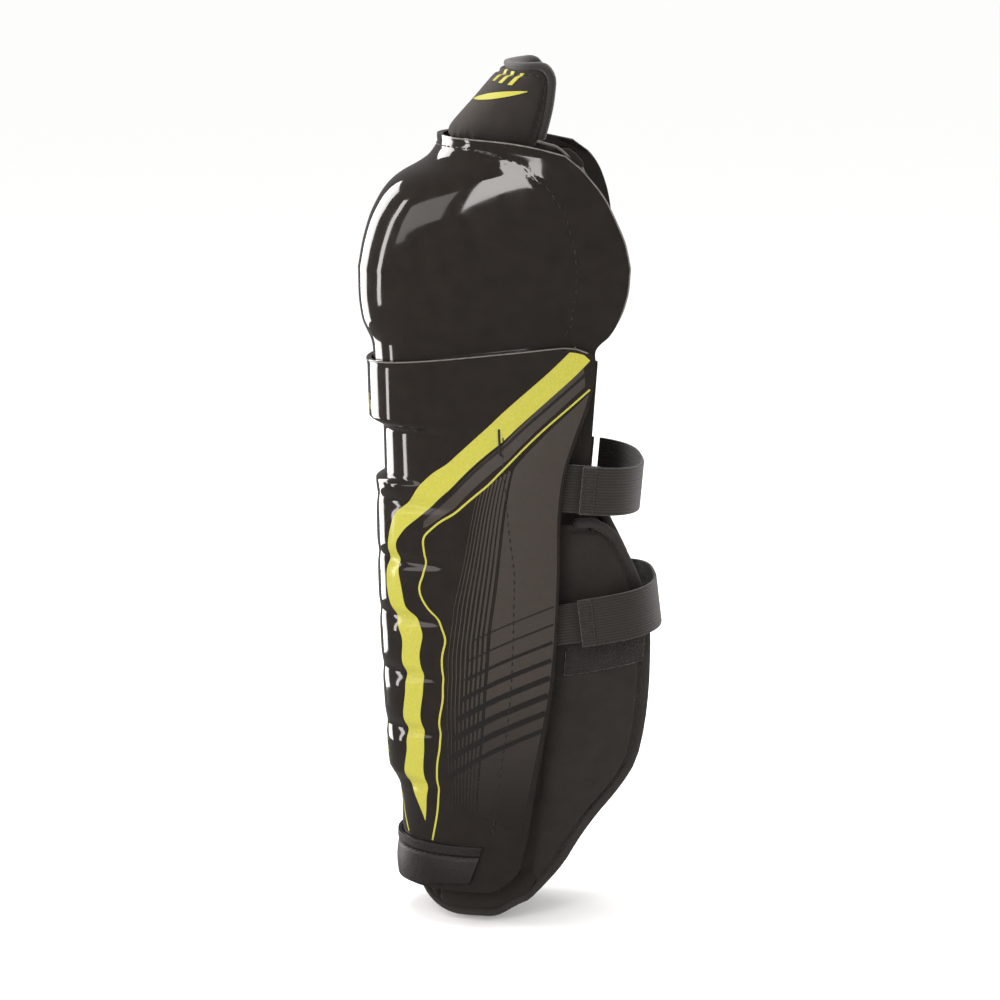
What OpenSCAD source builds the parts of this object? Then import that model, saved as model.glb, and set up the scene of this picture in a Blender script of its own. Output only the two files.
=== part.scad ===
// Ice hockey shin guard for the left leg. A hard knee cap and a hard shin cap stand over foam,
// a fabric liner carries two calf wraps, a padded flap covers the thigh above the knee, and
// two elastic straps close around the calf. Z is the leg axis with the ankle end at 0, the
// shin faces -Y, and the outer side of the leg, where the straps fasten, is +X.

/* [Heights] */
// Height of the shin cap at its front
shin_h = 280; // [235:1:336]
// Height of the knee cap at its front, above the seam with the shin cap
knee_h = 117; // [98:1:140]
// How far the liner hangs below the shin cap
ankle_drop = 17; // [13:1:21]
// How far the thigh flap stands above the knee cap
flap_rise = 39; // [32:1:47]
// How far the knee cap is tucked under the shin cap
seam_tuck = 8; // [6:0.5:10]

/* [Widths] */
// Width across the knee cap
knee_w = 133; // [120:1:160]
// Width across the shin cap at its top
shin_top_w = 116; // [110:1:124]
// Width across the shin cap at the ankle
ankle_w = 88; // [82:1:96]
// Width across the thigh flap
flap_w = 98; // [82:1:102]

/* [Depths] */
// Leg axis to the front of the knee dome
knee_front = 77; // [74:1:92]
// Leg axis to the front of the shin cap's ribbed block
shin_front = 68; // [64:1:74]
// Leg axis to the front of the shin cap at the ankle
ankle_front = 55; // [50:1:58]
// Leg axis to the front of the knee cap's top rim
rim_front = 34.5; // [33:0.5:40]
// Leg axis to the back of the knee cap's ears
knee_back = 60; // [54:1:70]
// Leg axis to the back edge of the shin cap
shin_back = 26; // [22:1:28]
// Leg axis to the back edge of the calf wraps
wrap_back = 74.7; // [68:0.1:80]

/* [Shells] */
// Wall of both moulded caps
shell_t = 2.2; // [1.8:0.1:3]
// How far the top band of the shin cap stands proud
band_h = 7.5; // [5:0.5:9]
// How far the ribbed block of the shin cap stands proud
block_h = 4.7; // [3.5:0.1:6]
// Distance between the grooves of the ribbed block
rib_pitch = 30.5; // [24:0.5:34]
// Depth of the grooves of the ribbed block
rib_depth = 2.2; // [1:0.1:3]
// Radius of the lower corners of the shin cap
corner_r = 16; // [10:1:20]

/* [Padding] */
// Foam under the shin cap
shin_foam_t = 5; // [4:0.5:6]
// Foam under the knee cap
knee_foam_t = 6; // [4:0.5:7]
// Liner over the shin
liner_t = 6; // [4:0.5:7]
// Radius of the padded roll around the knee
roll_r = 6.5; // [5:0.5:8]
// Side pads inside the knee cap's ears
ear_pad_t = 8; // [6:0.5:9]
// Thigh flap
flap_t = 9; // [7:0.5:10]
// Calf wraps
wrap_t = 7; // [5:0.5:8]
// Radius of the sewn edge bindings
binding_r = 1.8; // [1.4:0.1:2.2]
// Room between neighbouring layers
layer_gap = 0.6; // [0.5:0.05:0.8]

/* [Straps] */
// Width of the elastic
strap_w = 25; // [20:1:30]
// Thickness of the elastic
strap_t = 1.8; // [1.4:0.1:2.2]
// Thickness of the hook tabs and loop patches
hook_t = 1.2; // [1:0.1:1.5]
// Knee seam down to the middle of the upper strap, at the side
upper_strap_down = 62; // [50:1:76]
// Knee seam down to the middle of the lower strap, at the side
lower_strap_down = 134; // [112:1:150]
// Leg axis to the inside of the upper strap at the back
upper_strap_back = 70; // [66:1:84]
// Leg axis to the inside of the lower strap at the back
lower_strap_back = 80; // [79:1:92]
// Rise of the upper strap towards the back, in degrees
upper_tilt = -5; // [-8:0.5:0]
// Rise of the lower strap towards the back, in degrees
lower_tilt = 7; // [4:0.5:11]

/* [Trim] */
// Height of the synthetic leather tab at the ankle
ankle_tab_h = 24; // [16:1:28]
// Thickness of the tab at the ankle
ankle_tab_t = 1.5; // [1:0.1:2]
// Length of a stitch
stitch_l = 3.2; // [2.4:0.1:4]
// Width of the thread
thread_w = 0.7; // [0.5:0.1:1]
// Distance from one stitch to the next
stitch_pitch = 5; // [4.4:0.1:6]

/* [Hidden] */
$fn = 48;

plastic = "#1a1a1a";
fabric = "#2b2927";
trim = "#4a4643";
elastic = "#3a3836";
thread = "#0c0c0c";
foam = "#5b5f63";

// Levels along the leg
z_ankle = ankle_drop;
z_seam = z_ankle + shin_h;
z_rim = z_seam + knee_h;
z_top = z_rim + flap_rise;

// Stack of layers behind a cap, as distances inwards from its outer face
foam_out = shell_t + layer_gap;
foam_in = foam_out + shin_foam_t;
hook_out = foam_in + layer_gap;
hook_in = hook_out + hook_t;
liner_out = hook_in + layer_gap;
liner_in = liner_out + liner_t;
liner_mid = (liner_out + liner_in) / 2;
knee_foam_in = foam_out + knee_foam_t;
tape_t = 1.2;
tape_out = knee_foam_in + 2 * layer_gap;
tape_in = tape_out + tape_t;
roll_mid = tape_in + layer_gap + roll_r;

// Room that moving pieces keep from fixed ones
swing_gap = 0.6;

function clamp(v, lo = 0, hi = 1) = max(lo, min(hi, v));
function smooth(v) = let (c = clamp(v)) c * c * (3 - 2 * c);
function mix(a, b, t) = a + (b - a) * t;
function unit(v) = v / max(norm(v), 1e-9);

// Smooth curve through a profile of [place, value] points
function knot(p, k, i = 0) = (i >= len(p) - 2 || k < p[i + 1][0]) ? i : knot(p, k, i + 1);
function chord(p, i) = (p[i + 1][1] - p[i][1]) / (p[i + 1][0] - p[i][0]);
function tangent(p, i) =
    i == 0 ? chord(p, 0) :
    i == len(p) - 1 ? chord(p, len(p) - 2) :
    chord(p, i - 1) * chord(p, i) <= 0 ? 0 : (chord(p, i - 1) + chord(p, i)) / 2;
function profile(p, k) =
    let (c = clamp(k, p[0][0], p[len(p) - 1][0]),
         i = knot(p, c),
         w = p[i + 1][0] - p[i][0],
         t = (c - p[i][0]) / w)
    p[i][1] * (2 * t * t * t - 3 * t * t + 1) + tangent(p, i) * w * (t * t * t - 2 * t * t + t)
    + p[i + 1][1] * (3 * t * t - 2 * t * t * t) + tangent(p, i + 1) * w * (t * t * t - t * t);

// Half of a level section, from the front (u = 0) to the back edge (u = 1) and straight on
nose = 0.62;
hip = 0.4;
function section(u, front, back, half) =
    u > 1 ? [half, back + (u - 1) * 3 * (1 - hip) * (back - front)] :
    let (a = (1 - u) * (1 - u) * (1 - u), b = 3 * u * (1 - u) * (1 - u),
         c = 3 * u * u * (1 - u), d = u * u * u)
    [(b * nose + c + d) * half, (a + b) * front + c * mix(front, back, hip) + d * back];
// The same over both halves: s is -1 at the inner back edge, 0 in front and 1 at the outer one
function level(s, z, front, back, half) =
    let (p = section(abs(s), front, back, half)) [sign(s) * p[0], p[1], z];

// Shin cap: place along its height is 0 at the ankle and 1 at the knee seam
shin_edge = [[0, -25], [0.05, -20], [0.24, -10.5], [0.4, -3.7], [0.6, -0.8], [0.75, 0],
    [0.82, 3], [0.88, 8.5], [0.94, 14.5], [1, 17.5], [1.06, 16]];
shin_bow = [[0, 0], [0.13, 0], [0.2, 0.15], [0.5, 0.54], [0.84, 0.69], [1, 0.77], [1.1, 0.8]];
shin_swell = [[-0.05, 0], [0, 0], [0.25, 0.27], [0.5, 0.7], [0.75, 0.92], [1, 1], [1.1, 1]];
side_lift = 14;
band_bottom = 0.872;
block_top = 0.786;
block_bottom = 0.175;
first_groove = 13;
function shin_f(z) = (z - z_ankle) / shin_h;
function shin_half(z) = mix(ankle_w, shin_top_w, profile(shin_swell, shin_f(z))) / 2;
function shin_yback(z) = shin_back + profile(shin_edge, shin_f(z));
function shin_yfront(z) = -mix(ankle_front, shin_front, profile(shin_bow, shin_f(z)));
function shin_base(s, z) = level(s, z, shin_yfront(z), shin_yback(z), shin_half(z));
function groove_z(i) = z_ankle + block_top * shin_h - first_groove - i * rib_pitch;
groove_count = floor(((block_top - block_bottom) * shin_h - first_groove) / rib_pitch) + 1;
groove_wide = 4.5;
function grooves(z, i = 0) = i >= groove_count ? 0 :
    exp(-pow((z - groove_z(i)) / groove_wide, 2)) + grooves(z, i + 1);
function relief(s, z) =
    let (f = shin_f(z),
         q = abs(s),
         band = band_h * smooth((f - band_bottom) / 0.022) * (1 - smooth((q - 0.2) / 0.55)),
         block = smooth((block_top - f) / 0.014) * smooth((f - block_bottom) / 0.05)
             * (1 - smooth((q - 0.12) / 0.4)))
    band + block * (block_h - rib_depth * grooves(z));
// Top edge of the shin cap, which rises towards the sides and ends in a round corner
function shin_top(s) = z_seam + side_lift * pow(abs(s), 1.6);
function corner(s, from) = let (q = clamp((abs(s) - from) / (1 - from))) 1 - sqrt(1 - q * q);
function shin_zlo(s) = z_ankle + corner_r * corner(s, 0.86);
function shin_zhi(s) = shin_top(s) - corner_r * 0.6 * corner(s, 0.9);

// Normal of a surface given as a function of (s, z), by small steps
step_s = 0.004;
step_z = 0.4;
function normal(surf, s, z) =
    unit(cross(surf(s + step_s, z) - surf(s - step_s, z), surf(s, z + step_z) - surf(s, z - step_z)));
function offset_pt(surf, s, z, d) = surf(s, z) + d * normal(surf, s, z);
shin_plain = function (s, z) shin_base(s, z);
shin_outer = function (s, z) shin_base(s, z) + relief(s, z) * normal(shin_plain, s, z);

// Knee cap: place along its height is 0 at the seam and 1 at the top rim. The dome swells out
// of a seat inside the shin cap, and its top falls back to the rim.
dome_low = [[0, 0], [0.06, 0.2], [0.125, 0.55], [0.25, 0.92], [0.41, 1]];
dome_high = [[0.41, 1], [0.55, 0.925], [0.68, 0.8], [0.79, 0.6], [0.835, 0.44],
    [0.868, 0.27], [0.9, 0.14], [0.95, 0.04], [1, 0]];
ear_low = [[-0.1, 0], [0.05, 0.05], [0.19, 0.62], [0.33, 0.93], [0.45, 1]];
ear_high = [[0.45, 1], [0.56, 0.93], [0.65, 0.82], [0.763, 0.65], [0.883, 0.36], [0.94, 0.2],
    [1, 0.1]];
// The ear on the inner side of the leg has a fuller upper corner
medial_ear_high = [[0.45, 1], [0.56, 1.03], [0.66, 1], [0.74, 0.94], [0.82, 0.84],
    [0.885, 0.69], [0.93, 0.51], [1, 0.3]];
knee_bulge = [[-0.1, 0], [0.05, 0.05], [0.12, 0.25], [0.25, 0.62], [0.42, 0.94], [0.6, 1],
    [0.8, 0.92], [1, 0.6]];
ear_seat = 43;
ear_top = 20;
knee_gap = 1;
rim_drop = 8;
function knee_f(z) = (z - z_seam) / knee_h;
seat_front = -shin_yfront(z_seam) + band_h - shell_t - knee_gap;
seat_half = shin_top_w / 2 - shell_t - knee_gap;
function knee_yfront(z) = let (f = knee_f(z))
    f < dome_high[0][0] ? -mix(seat_front, knee_front, profile(dome_low, f)) :
    -mix(rim_front, knee_front, profile(dome_high, f));
function knee_yback(z, side) = let (f = knee_f(z))
    f < ear_high[0][0] ? mix(ear_seat, knee_back, profile(ear_low, f)) :
    mix(ear_top, knee_back, profile(side < 0 ? medial_ear_high : ear_high, f));
function knee_half(z) = mix(seat_half, knee_w / 2, profile(knee_bulge, knee_f(z)));
function knee_own(s, z) = level(s, z, knee_yfront(z), knee_yback(z, s), knee_half(z));
knee_blend_h = 20;
ear_reach = 9;
// Foam and pads start where the dome has swelled out of its seat, later on a wider knee cap
knee_foam_rise = max(5, 0.5 * (knee_w - shin_top_w) - 1.5);
// The ears reach back sooner than the sides swell out
knee_outer = function (s, z)
    let (up = z - shin_top(s) - 1,
         early = ear_reach * pow(abs(s), 6),
         k = smooth(up / knee_blend_h),
         ky = smooth((up + early) / (knee_blend_h - early)),
         seat = offset_pt(shin_outer, s, z, -shell_t - knee_gap),
         own = knee_own(s, z))
    [mix(seat[0], own[0], k), mix(seat[1], own[1], ky), mix(seat[2], z, k)];
function knee_zlo(s) = shin_top(s) - seam_tuck - corner_r * 0.3 * corner(s, 0.9);
function knee_zhi(s) = z_rim - rim_drop * pow(abs(s), 6);

// Closed slab between two grids of (n + 1) x (m + 1) points, the first one outside
function quad(a, b, c, d) = [[a, b, c], [a, c, d]];
function slab_faces(n, m) =
    let (k = (n + 1) * (m + 1), o = function (i, j) i * (m + 1) + j, e = function (i, j) o(i, j) + k)
    concat(
        [for (i = [0:n - 1], j = [0:m - 1], f = quad(o(i, j), o(i, j + 1), o(i + 1, j + 1), o(i + 1, j))) f],
        [for (i = [0:n - 1], j = [0:m - 1], f = quad(e(i, j), e(i + 1, j), e(i + 1, j + 1), e(i, j + 1))) f],
        [for (i = [0:n - 1], f = quad(o(i, 0), o(i + 1, 0), e(i + 1, 0), e(i, 0))) f],
        [for (i = [0:n - 1], f = quad(o(i + 1, m), o(i, m), e(i, m), e(i + 1, m))) f],
        [for (j = [0:m - 1], f = quad(o(0, j + 1), o(0, j), e(0, j), e(0, j + 1))) f],
        [for (j = [0:m - 1], f = quad(o(n, j), o(n, j + 1), e(n, j + 1), e(n, j))) f]);
module slab(outer, inner, n, m) {
    polyhedron(points = concat(outer, inner), faces = slab_faces(n, m), convexity = 6);
}

// Layer that follows a surface between two distances inwards from it. slo and shi give its side
// edges for a place g from 0 to 1 up the layer, zlo and zhi its lower and upper edge. Its columns
// crowd towards the side edges, where the corners are round.
function crowd(q) = let (v = 2 * q - 1) 0.5 + (1.5 * v - 0.5 * v * v * v) / 2;
module layer(surf, d_out, d_in, slo, shi, zlo, zhi, n, m) {
    function at(i, j) = let (g = j / m, s = mix(slo(g), shi(g), crowd(i / n))) [s, mix(zlo(s), zhi(s), g)];
    function grid(d) = [for (i = [0:n], j = [0:m]) let (q = at(i, j)) offset_pt(surf, q[0], q[1], -d)];
    slab(grid(d_out), grid(d_in), n, m);
}

// Tube along a path, with a cross section turned by the normal given at each point
function path_dir(path, i, closed) = let (n = len(path))
    closed ? unit(path[(i + 1) % n] - path[(i + n - 1) % n]) :
    unit(path[min(i + 1, n - 1)] - path[max(i - 1, 0)]);
module tube(path, normals, r, sides, closed = false) {
    count = len(path);
    rings = [for (i = [0:count - 1], k = [0:sides - 1])
        let (t = path_dir(path, i, closed), b = unit(cross(t, normals[i])), a = cross(b, t),
             w = 360 * k / sides)
        path[i] + r * (cos(w) * a + sin(w) * b)];
    last = closed ? count - 1 : count - 2;
    walls = [for (i = [0:last], k = [0:sides - 1])
        let (p = i * sides, q = ((i + 1) % count) * sides, l = (k + 1) % sides)
        each quad(p + k, q + k, q + l, p + l)];
    ends = closed ? [] : [[for (k = [0:sides - 1]) k], [for (k = [0:sides - 1]) count * sides - 1 - k]];
    polyhedron(points = rings, faces = concat(walls, ends), convexity = 6);
}

// Row of stitches lying on a surface, along a path of [s, z] places. Each one is a flat bar.
function path_length(p, i = 0) = i >= len(p) - 1 ? 0 : norm(p[i + 1] - p[i]) + path_length(p, i + 1);
function walk(p, d, i = 0) = let (l = norm(p[i + 1] - p[i]))
    (d <= l || i >= len(p) - 2) ? [i, d / l] : walk(p, d - l, i + 1);
module stitches(surf, places, above = 0.4) {
    line = [for (q = places) surf(q[0], q[1])];
    total = path_length(line);
    count = floor((total - stitch_l) / stitch_pitch);
    first = (total - count * stitch_pitch) / 2;
    for (k = [0:count]) {
        w = walk(line, first + k * stitch_pitch);
        q = mix(places[w[0]], places[w[0] + 1], w[1]);
        n = normal(surf, q[0], q[1]);
        t = unit(line[w[0] + 1] - line[w[0]]);
        b = cross(n, t);
        p = surf(q[0], q[1]) + (above + thread_w / 2) * n;
        multmatrix([[t[0], b[0], n[0], p[0]], [t[1], b[1], n[1], p[1]], [t[2], b[2], n[2], p[2]], [0, 0, 0, 1]])
            cube([stitch_l, thread_w, thread_w], center = true);
    }
}

// Calf wraps: each swings about a straight line behind the shin cap's back edge. Place along
// their height is 0 at the lower tip and 1 at the top edge.
wrap_low = 3;
wrap_down = 80;
z_wrap_lo = z_ankle + wrap_low;
z_wrap_hi = z_seam - wrap_down;
wrap_outline = [[0, 0.04], [0.053, 0.184], [0.125, 0.328], [0.19, 0.49], [0.254, 0.69],
    [0.317, 0.85], [0.391, 0.93], [0.486, 0.98], [0.594, 1], [0.705, 0.99], [0.807, 0.895],
    [0.9, 0.706], [0.973, 0.468], [1, 0.206]];
wrap_curl = 15;
wrap_belly = 1;
hinge_room = 6;
hinge_lo = [shin_half(z_wrap_lo) - liner_mid, shin_yback(z_wrap_lo) + hinge_room * 2.6, z_wrap_lo];
hinge_hi = [shin_half(z_wrap_hi) - liner_mid, shin_yback(z_wrap_hi) + hinge_room, z_wrap_hi];
function wrap_f(z) = (z - z_wrap_lo) / (z_wrap_hi - z_wrap_lo);
function hinge_pt(z) = mix(hinge_lo, hinge_hi, wrap_f(z));
function wrap_reach(z) = let (h = hinge_pt(z)) (wrap_back - h[1]) * profile(wrap_outline, wrap_f(z));
// Middle face of the outer wrap: w runs from 0 at the swing line to 1 at the rim of the outline
wrap_mid = function (w, z)
    let (h = hinge_pt(z), y = h[1] + w * wrap_reach(z), q = (y - h[1]) / (wrap_back - h[1]))
    [h[0] + wrap_belly * q * (1 - q) - wrap_curl * q * q, y, z];
wrap_pad_end = function (z) 1 - (2 * binding_r + 2 * layer_gap) / max(wrap_reach(z), 6);
wrap_rows = 16;
wrap_cols = 8;
wrap_edge_t = 0.62;
module calf_wrap() {
    function at(i, j) = let (z = mix(z_wrap_lo + 6, z_wrap_hi - 2 * binding_r - 9 * layer_gap, j / wrap_rows))
        [mix(0, wrap_pad_end(z), i / wrap_cols), z];
    function thick(i) = wrap_t / 2 * (i == wrap_cols ? wrap_edge_t : 1);
    function grid(side) = [for (i = [0:wrap_cols], j = [0:wrap_rows])
        let (q = at(i, j)) wrap_mid(q[0], q[1]) + side * thick(i) * normal(wrap_mid, q[0], q[1])];
    slab(grid(1), grid(-1), wrap_cols, wrap_rows);
}
module wrap_binding() {
    rows = 30;
    inset = function (z) 1 - binding_r / max(wrap_reach(z), 6);
    up = [for (j = [0:rows]) let (z = mix(z_wrap_lo + 4, z_wrap_hi - binding_r, j / rows))
        [inset(z), z]];
    top = [for (j = [1:3]) [mix(inset(z_wrap_hi - binding_r), 0.25, j / 3), z_wrap_hi - binding_r]];
    places = concat(up, top);
    tube([for (q = places) wrap_mid(q[0], q[1])], [for (q = places) normal(wrap_mid, q[0], q[1])],
        binding_r, 6);
}

// Liner edge: ahead of the wraps' swing line, then wider behind the shin cap above the wraps
liner_side = [[0, 0], [0.03, 0.1], [0.18, 0.72], [0.4, 0.8], [1, 1]];
liner_wide = 18.5;
z_liner_top = z_seam + 3;
function liner_yedge(z) =
    z <= z_wrap_hi + swing_gap ? hinge_pt(z)[1] - wrap_t / 2 - 2 * swing_gap :
    hinge_hi[1] - wrap_t / 2 - 2 * swing_gap
    + liner_wide * profile(liner_side, (z - z_wrap_hi - swing_gap) / (z_liner_top - z_wrap_hi));
function liner_s(z) = 1 + (liner_yedge(z) - shin_yback(z)) / (3 * (1 - hip) * (shin_yback(z) - shin_yfront(z)));
function liner_zlo(s) = 2 * binding_r + layer_gap + 9 * (1 - smooth(abs(s) / 0.65)) + 9 * smooth((abs(s) - 0.88) / 0.25);

// Thigh flap: place along its height is 0 at its foot and 1 at its top edge
flap_foot_h = 5;
flap_lean = [[0, -3.1], [0.14, -3.4], [0.25, 0], [0.55, 12.2], [1, 29.5]];
flap_side = [[0, 51], [0.5, 56], [1, 57.5]];
z_flap_lo = z_rim - flap_foot_h;
flap_outer = function (s, z)
    let (f = (z - z_flap_lo) / (z_top - z_flap_lo), lean = profile(flap_lean, f))
    level(s, z, lean - rim_front + 6, profile(flap_side, f) - rim_front, flap_w / 2 * mix(1, 0.94, f));
flap_corner = 9;
function flap_zhi(s) = z_top - 2 * binding_r - 3 * layer_gap - flap_corner * corner(s, 0.72);
module thigh_flap_pad_solid() {
    n = 16;
    m = 8;
    side = 1 - (2 * binding_r + 3 * layer_gap) / (flap_w * 0.8);
    function edge(i, j) = (i == 0 || i == n || j == 0 || j == m) ? 0.25 : 0;
    function at(i, j) = let (s = mix(-side, side, i / n)) [s, mix(z_flap_lo, flap_zhi(s), j / m)];
    function grid(d0, d1) = [for (i = [0:n], j = [0:m]) let (q = at(i, j))
        offset_pt(flap_outer, q[0], q[1], -flap_t * mix(d0, d1, edge(i, j)))];
    slab(grid(0, 1), grid(1, 0), n, m);
}

// Strap: a band that runs round the calf in a tilted plane, along a rounded square
strap_bow = 3;
strap_mid_y = 30;
swing_y = 52;
strap_end_y = 36;
strap_seam_y = 12;
strap_tab_y = 46;
// Inside half widths of the loop: its outer side clears the hook tab and the tab that it grips,
// its inner side is sewn to the inside of the shin cap
function strap_half(z) = let (inside = shin_half(z - 0.75 * strap_w) - shell_t)
    [inside + hook_t, inside - swing_gap - strap_t];
// Point on the inside of the loop, at an angle from the outer side
function loop_pt(a, half, back, d) =
    let (c = cos(a), v = sin(a),
         r = pow(pow(abs(c), strap_bow) + pow(max(v, 0), strap_bow), -1 / strap_bow),
         n = unit([sign(c) * pow(abs(c), strap_bow - 1), pow(max(v, 0), strap_bow - 1) * 0.9 + 1e-6]))
    [mix(half[1], half[0], (1 + c) / 2) * r * c,
        strap_mid_y + (v < 0 ? v * half[0] : (back - strap_mid_y) * r * v)] + d * n;
function loop_angle(y, half, back, lo = -25, hi = 89, k = 0) =
    k > 22 ? (lo + hi) / 2 :
    let (m = (lo + hi) / 2) loop_pt(m, half, back, 0)[1] < y ? loop_angle(y, half, back, m, hi, k + 1) :
    loop_angle(y, half, back, lo, m, k + 1);
function strip(a0, a1, half, back, d0, d1, steps) = concat(
    [for (k = [0:steps]) loop_pt(mix(a0, a1, k / steps), half, back, d1)],
    [for (k = [steps:-1:0]) loop_pt(mix(a0, a1, k / steps), half, back, d0)]);
// A strip of the loop as a solid, in the strap's own tilted plane about the outer side
module strap_strip(z, tilt, a0, a1, half, back, d0, d1, wide, steps = 40) {
    translate([0, strap_mid_y, z]) rotate([tilt, 0, 0]) translate([0, -strap_mid_y, -wide / 2])
        linear_extrude(wide) polygon(strip(a0, a1, half, back, d0, d1, steps));
}
z_upper = z_seam - upper_strap_down;
z_lower = z_seam - lower_strap_down;
module strap_band(z, tilt, back) {
    h = strap_half(z);
    strap_strip(z, tilt, loop_angle(strap_end_y, h, back), 180 - loop_angle(swing_y + 1, h, back),
        h, back, 0, strap_t, strap_w);
}
module strap_hook(z, tilt, back) {
    h = strap_half(z);
    gap = 0.05;
    strap_strip(z, tilt, loop_angle(strap_end_y + 1, h, back), loop_angle(strap_tab_y + 6, h, back),
        h, back, -hook_t - gap, -gap, strap_w - 3, 10);
}
module strap_lateral_tab(z, tilt, back, wide) {
    h = strap_half(z);
    d = -hook_t - swing_gap;
    strap_strip(z, tilt, loop_angle(strap_seam_y, h, back), loop_angle(strap_tab_y, h, back),
        h, back, d - strap_t, d, wide, 16);
}
module strap_medial_tab(z, tilt, back) {
    h = strap_half(z);
    strap_strip(z, tilt, 180 - loop_angle(strap_seam_y, h, back),
        180 - loop_angle(swing_y - strap_t, h, back), h, back, 0, strap_t, strap_w, 16);
}

module knee_cap_shell() {
    color(plastic) layer(knee_outer, 0, shell_t, function (g) -1, function (g) 1,
        function (s) knee_zlo(s), function (s) knee_zhi(s), 30, 20);
}

module shin_cap_shell() {
    color(plastic) layer(shin_outer, 0, shell_t, function (g) -1, function (g) 1,
        function (s) shin_zlo(s), function (s) shin_zhi(s), 22, 48);
}

module knee_cap_foam() {
    side = 0.58;
    color(foam) layer(knee_outer, foam_out, knee_foam_in, function (g) -side, function (g) side,
        function (s) shin_top(s) + knee_foam_rise, function (s) z_rim - 14, 16, 9);
}

module shin_cap_foam() {
    side = 0.84;
    color(foam) layer(shin_plain, foam_out, foam_in, function (g) -side, function (g) side,
        function (s) z_ankle + 8, function (s) shin_top(s) - seam_tuck - 10, 16, 14);
}

// Padded roll around the knee, lying against the foam
module knee_roll_pad() {
    rings = 32;
    half_s = 0.46;
    half_z = 0.3 * knee_h;
    mid_z = z_seam + 0.46 * knee_h;
    places = [for (k = [0:rings - 1]) let (a = 360 * k / rings,
        r = pow(pow(abs(cos(a)), 3) + pow(abs(sin(a)), 3), -1 / 3))
        [half_s * r * cos(a), mid_z + half_z * r * sin(a)]];
    color(fabric) tube([for (q = places) offset_pt(knee_outer, q[0], q[1], -roll_mid)],
        [for (q = places) normal(knee_outer, q[0], q[1])], roll_r, 8, true);
}

module knee_side_pad(lo, hi) {
    layer(knee_outer, foam_out, foam_out + ear_pad_t, function (g) lo, function (g) hi,
        function (s) shin_top(s) + knee_foam_rise - 1, function (s) z_rim - 15 - 6 * corner(s, 0.8), 6, 9);
}
ear_pad_front = 0.64;
ear_pad_back = 0.965;
module lateral_knee_pad() {
    color(fabric) knee_side_pad(ear_pad_front, ear_pad_back);
}
module medial_knee_pad() {
    color(fabric) knee_side_pad(-ear_pad_back, -ear_pad_front);
}

module shin_liner() {
    color(fabric) layer(shin_plain, liner_out, liner_in,
        function (g) -liner_s(mix(liner_zlo(1), z_liner_top, g)),
        function (g) liner_s(mix(liner_zlo(1), z_liner_top, g)),
        function (s) liner_zlo(s), function (s) z_liner_top, 20, 20);
}

module liner_binding() {
    count = 24;
    side = 0.98;
    places = [for (k = [0:count]) let (s = mix(-side, side, k / count))
        [s, liner_zlo(s) - binding_r - layer_gap]];
    color(trim) tube([for (q = places) offset_pt(shin_plain, q[0], q[1], -liner_mid)],
        [for (q = places) normal(shin_plain, q[0], q[1])], binding_r, 6);
}

// Hook tabs that hold the liner to the foam
module liner_hook_tabs() {
    tab_h = 26;
    for (side = [-1, 1], up = [0.3, 0.66])
        color(trim) layer(shin_plain, hook_out, hook_in,
            function (g) side * 0.35 - 0.08, function (g) side * 0.35 + 0.08,
            function (s) z_ankle + up * shin_h, function (s) z_ankle + up * shin_h + tab_h, 3, 1);
}

module thigh_flap_pad() {
    color(fabric) thigh_flap_pad_solid();
}

module thigh_flap_binding() {
    side = 1 - binding_r / (flap_w * 0.9);
    z_start = z_flap_lo + 4;
    z_bend = z_top - binding_r - flap_corner;
    rise = [for (k = [0:6]) [side, mix(z_start, z_bend, k / 6)]];
    round_part = [for (k = [1:5]) let (a = 90 * k / 6)
        [mix(side, 0.72, 1 - cos(a)), z_bend + flap_corner * sin(a)]];
    over = [for (k = [0:7]) [mix(0.72, 0, k / 7), z_top - binding_r]];
    half = concat(rise, round_part, over);
    places = concat(half, [for (k = [len(half) - 2:-1:0]) [-half[k][0], half[k][1]]]);
    color(trim) tube([for (q = places) offset_pt(flap_outer, q[0], q[1], -flap_t / 2)],
        [for (q = places) normal(flap_outer, q[0], q[1])], binding_r, 6);
}

// Cloth tape that hinges the flap to the knee foam
module flap_hinge_tape() {
    side = 0.3;
    color(trim) layer(knee_outer, tape_out, tape_in,
        function (g) -side, function (g) side,
        function (s) z_rim - 26, function (s) z_rim - 8, 8, 4);
}

module lateral_calf_wrap() {
    color(fabric) calf_wrap();
}
module medial_calf_wrap() {
    color(fabric) mirror([1, 0, 0]) calf_wrap();
}
module lateral_wrap_binding() {
    color(trim) wrap_binding();
}
module medial_wrap_binding() {
    color(trim) mirror([1, 0, 0]) wrap_binding();
}

// Loop patch on the outer wrap, in line with the lower strap
module wrap_loop_patch() {
    n = 8;
    m = 3;
    patch_h = 38;
    z_mid = z_lower - strap_w / 2 + 2;
    function at(i, j) = let (w = mix(0.06, 0.9, i / n)) [w, z_mid + patch_h * (j / m - 0.5)
        + tan(lower_tilt) * w * wrap_reach(z_mid)];
    function grid(d) = [for (i = [0:n], j = [0:m]) let (q = at(i, j))
        wrap_mid(q[0], q[1]) + (wrap_t / 2 + 0.1 + d) * normal(wrap_mid, q[0], q[1])];
    color(trim) slab(grid(hook_t), grid(0), n, m);
}

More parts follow.
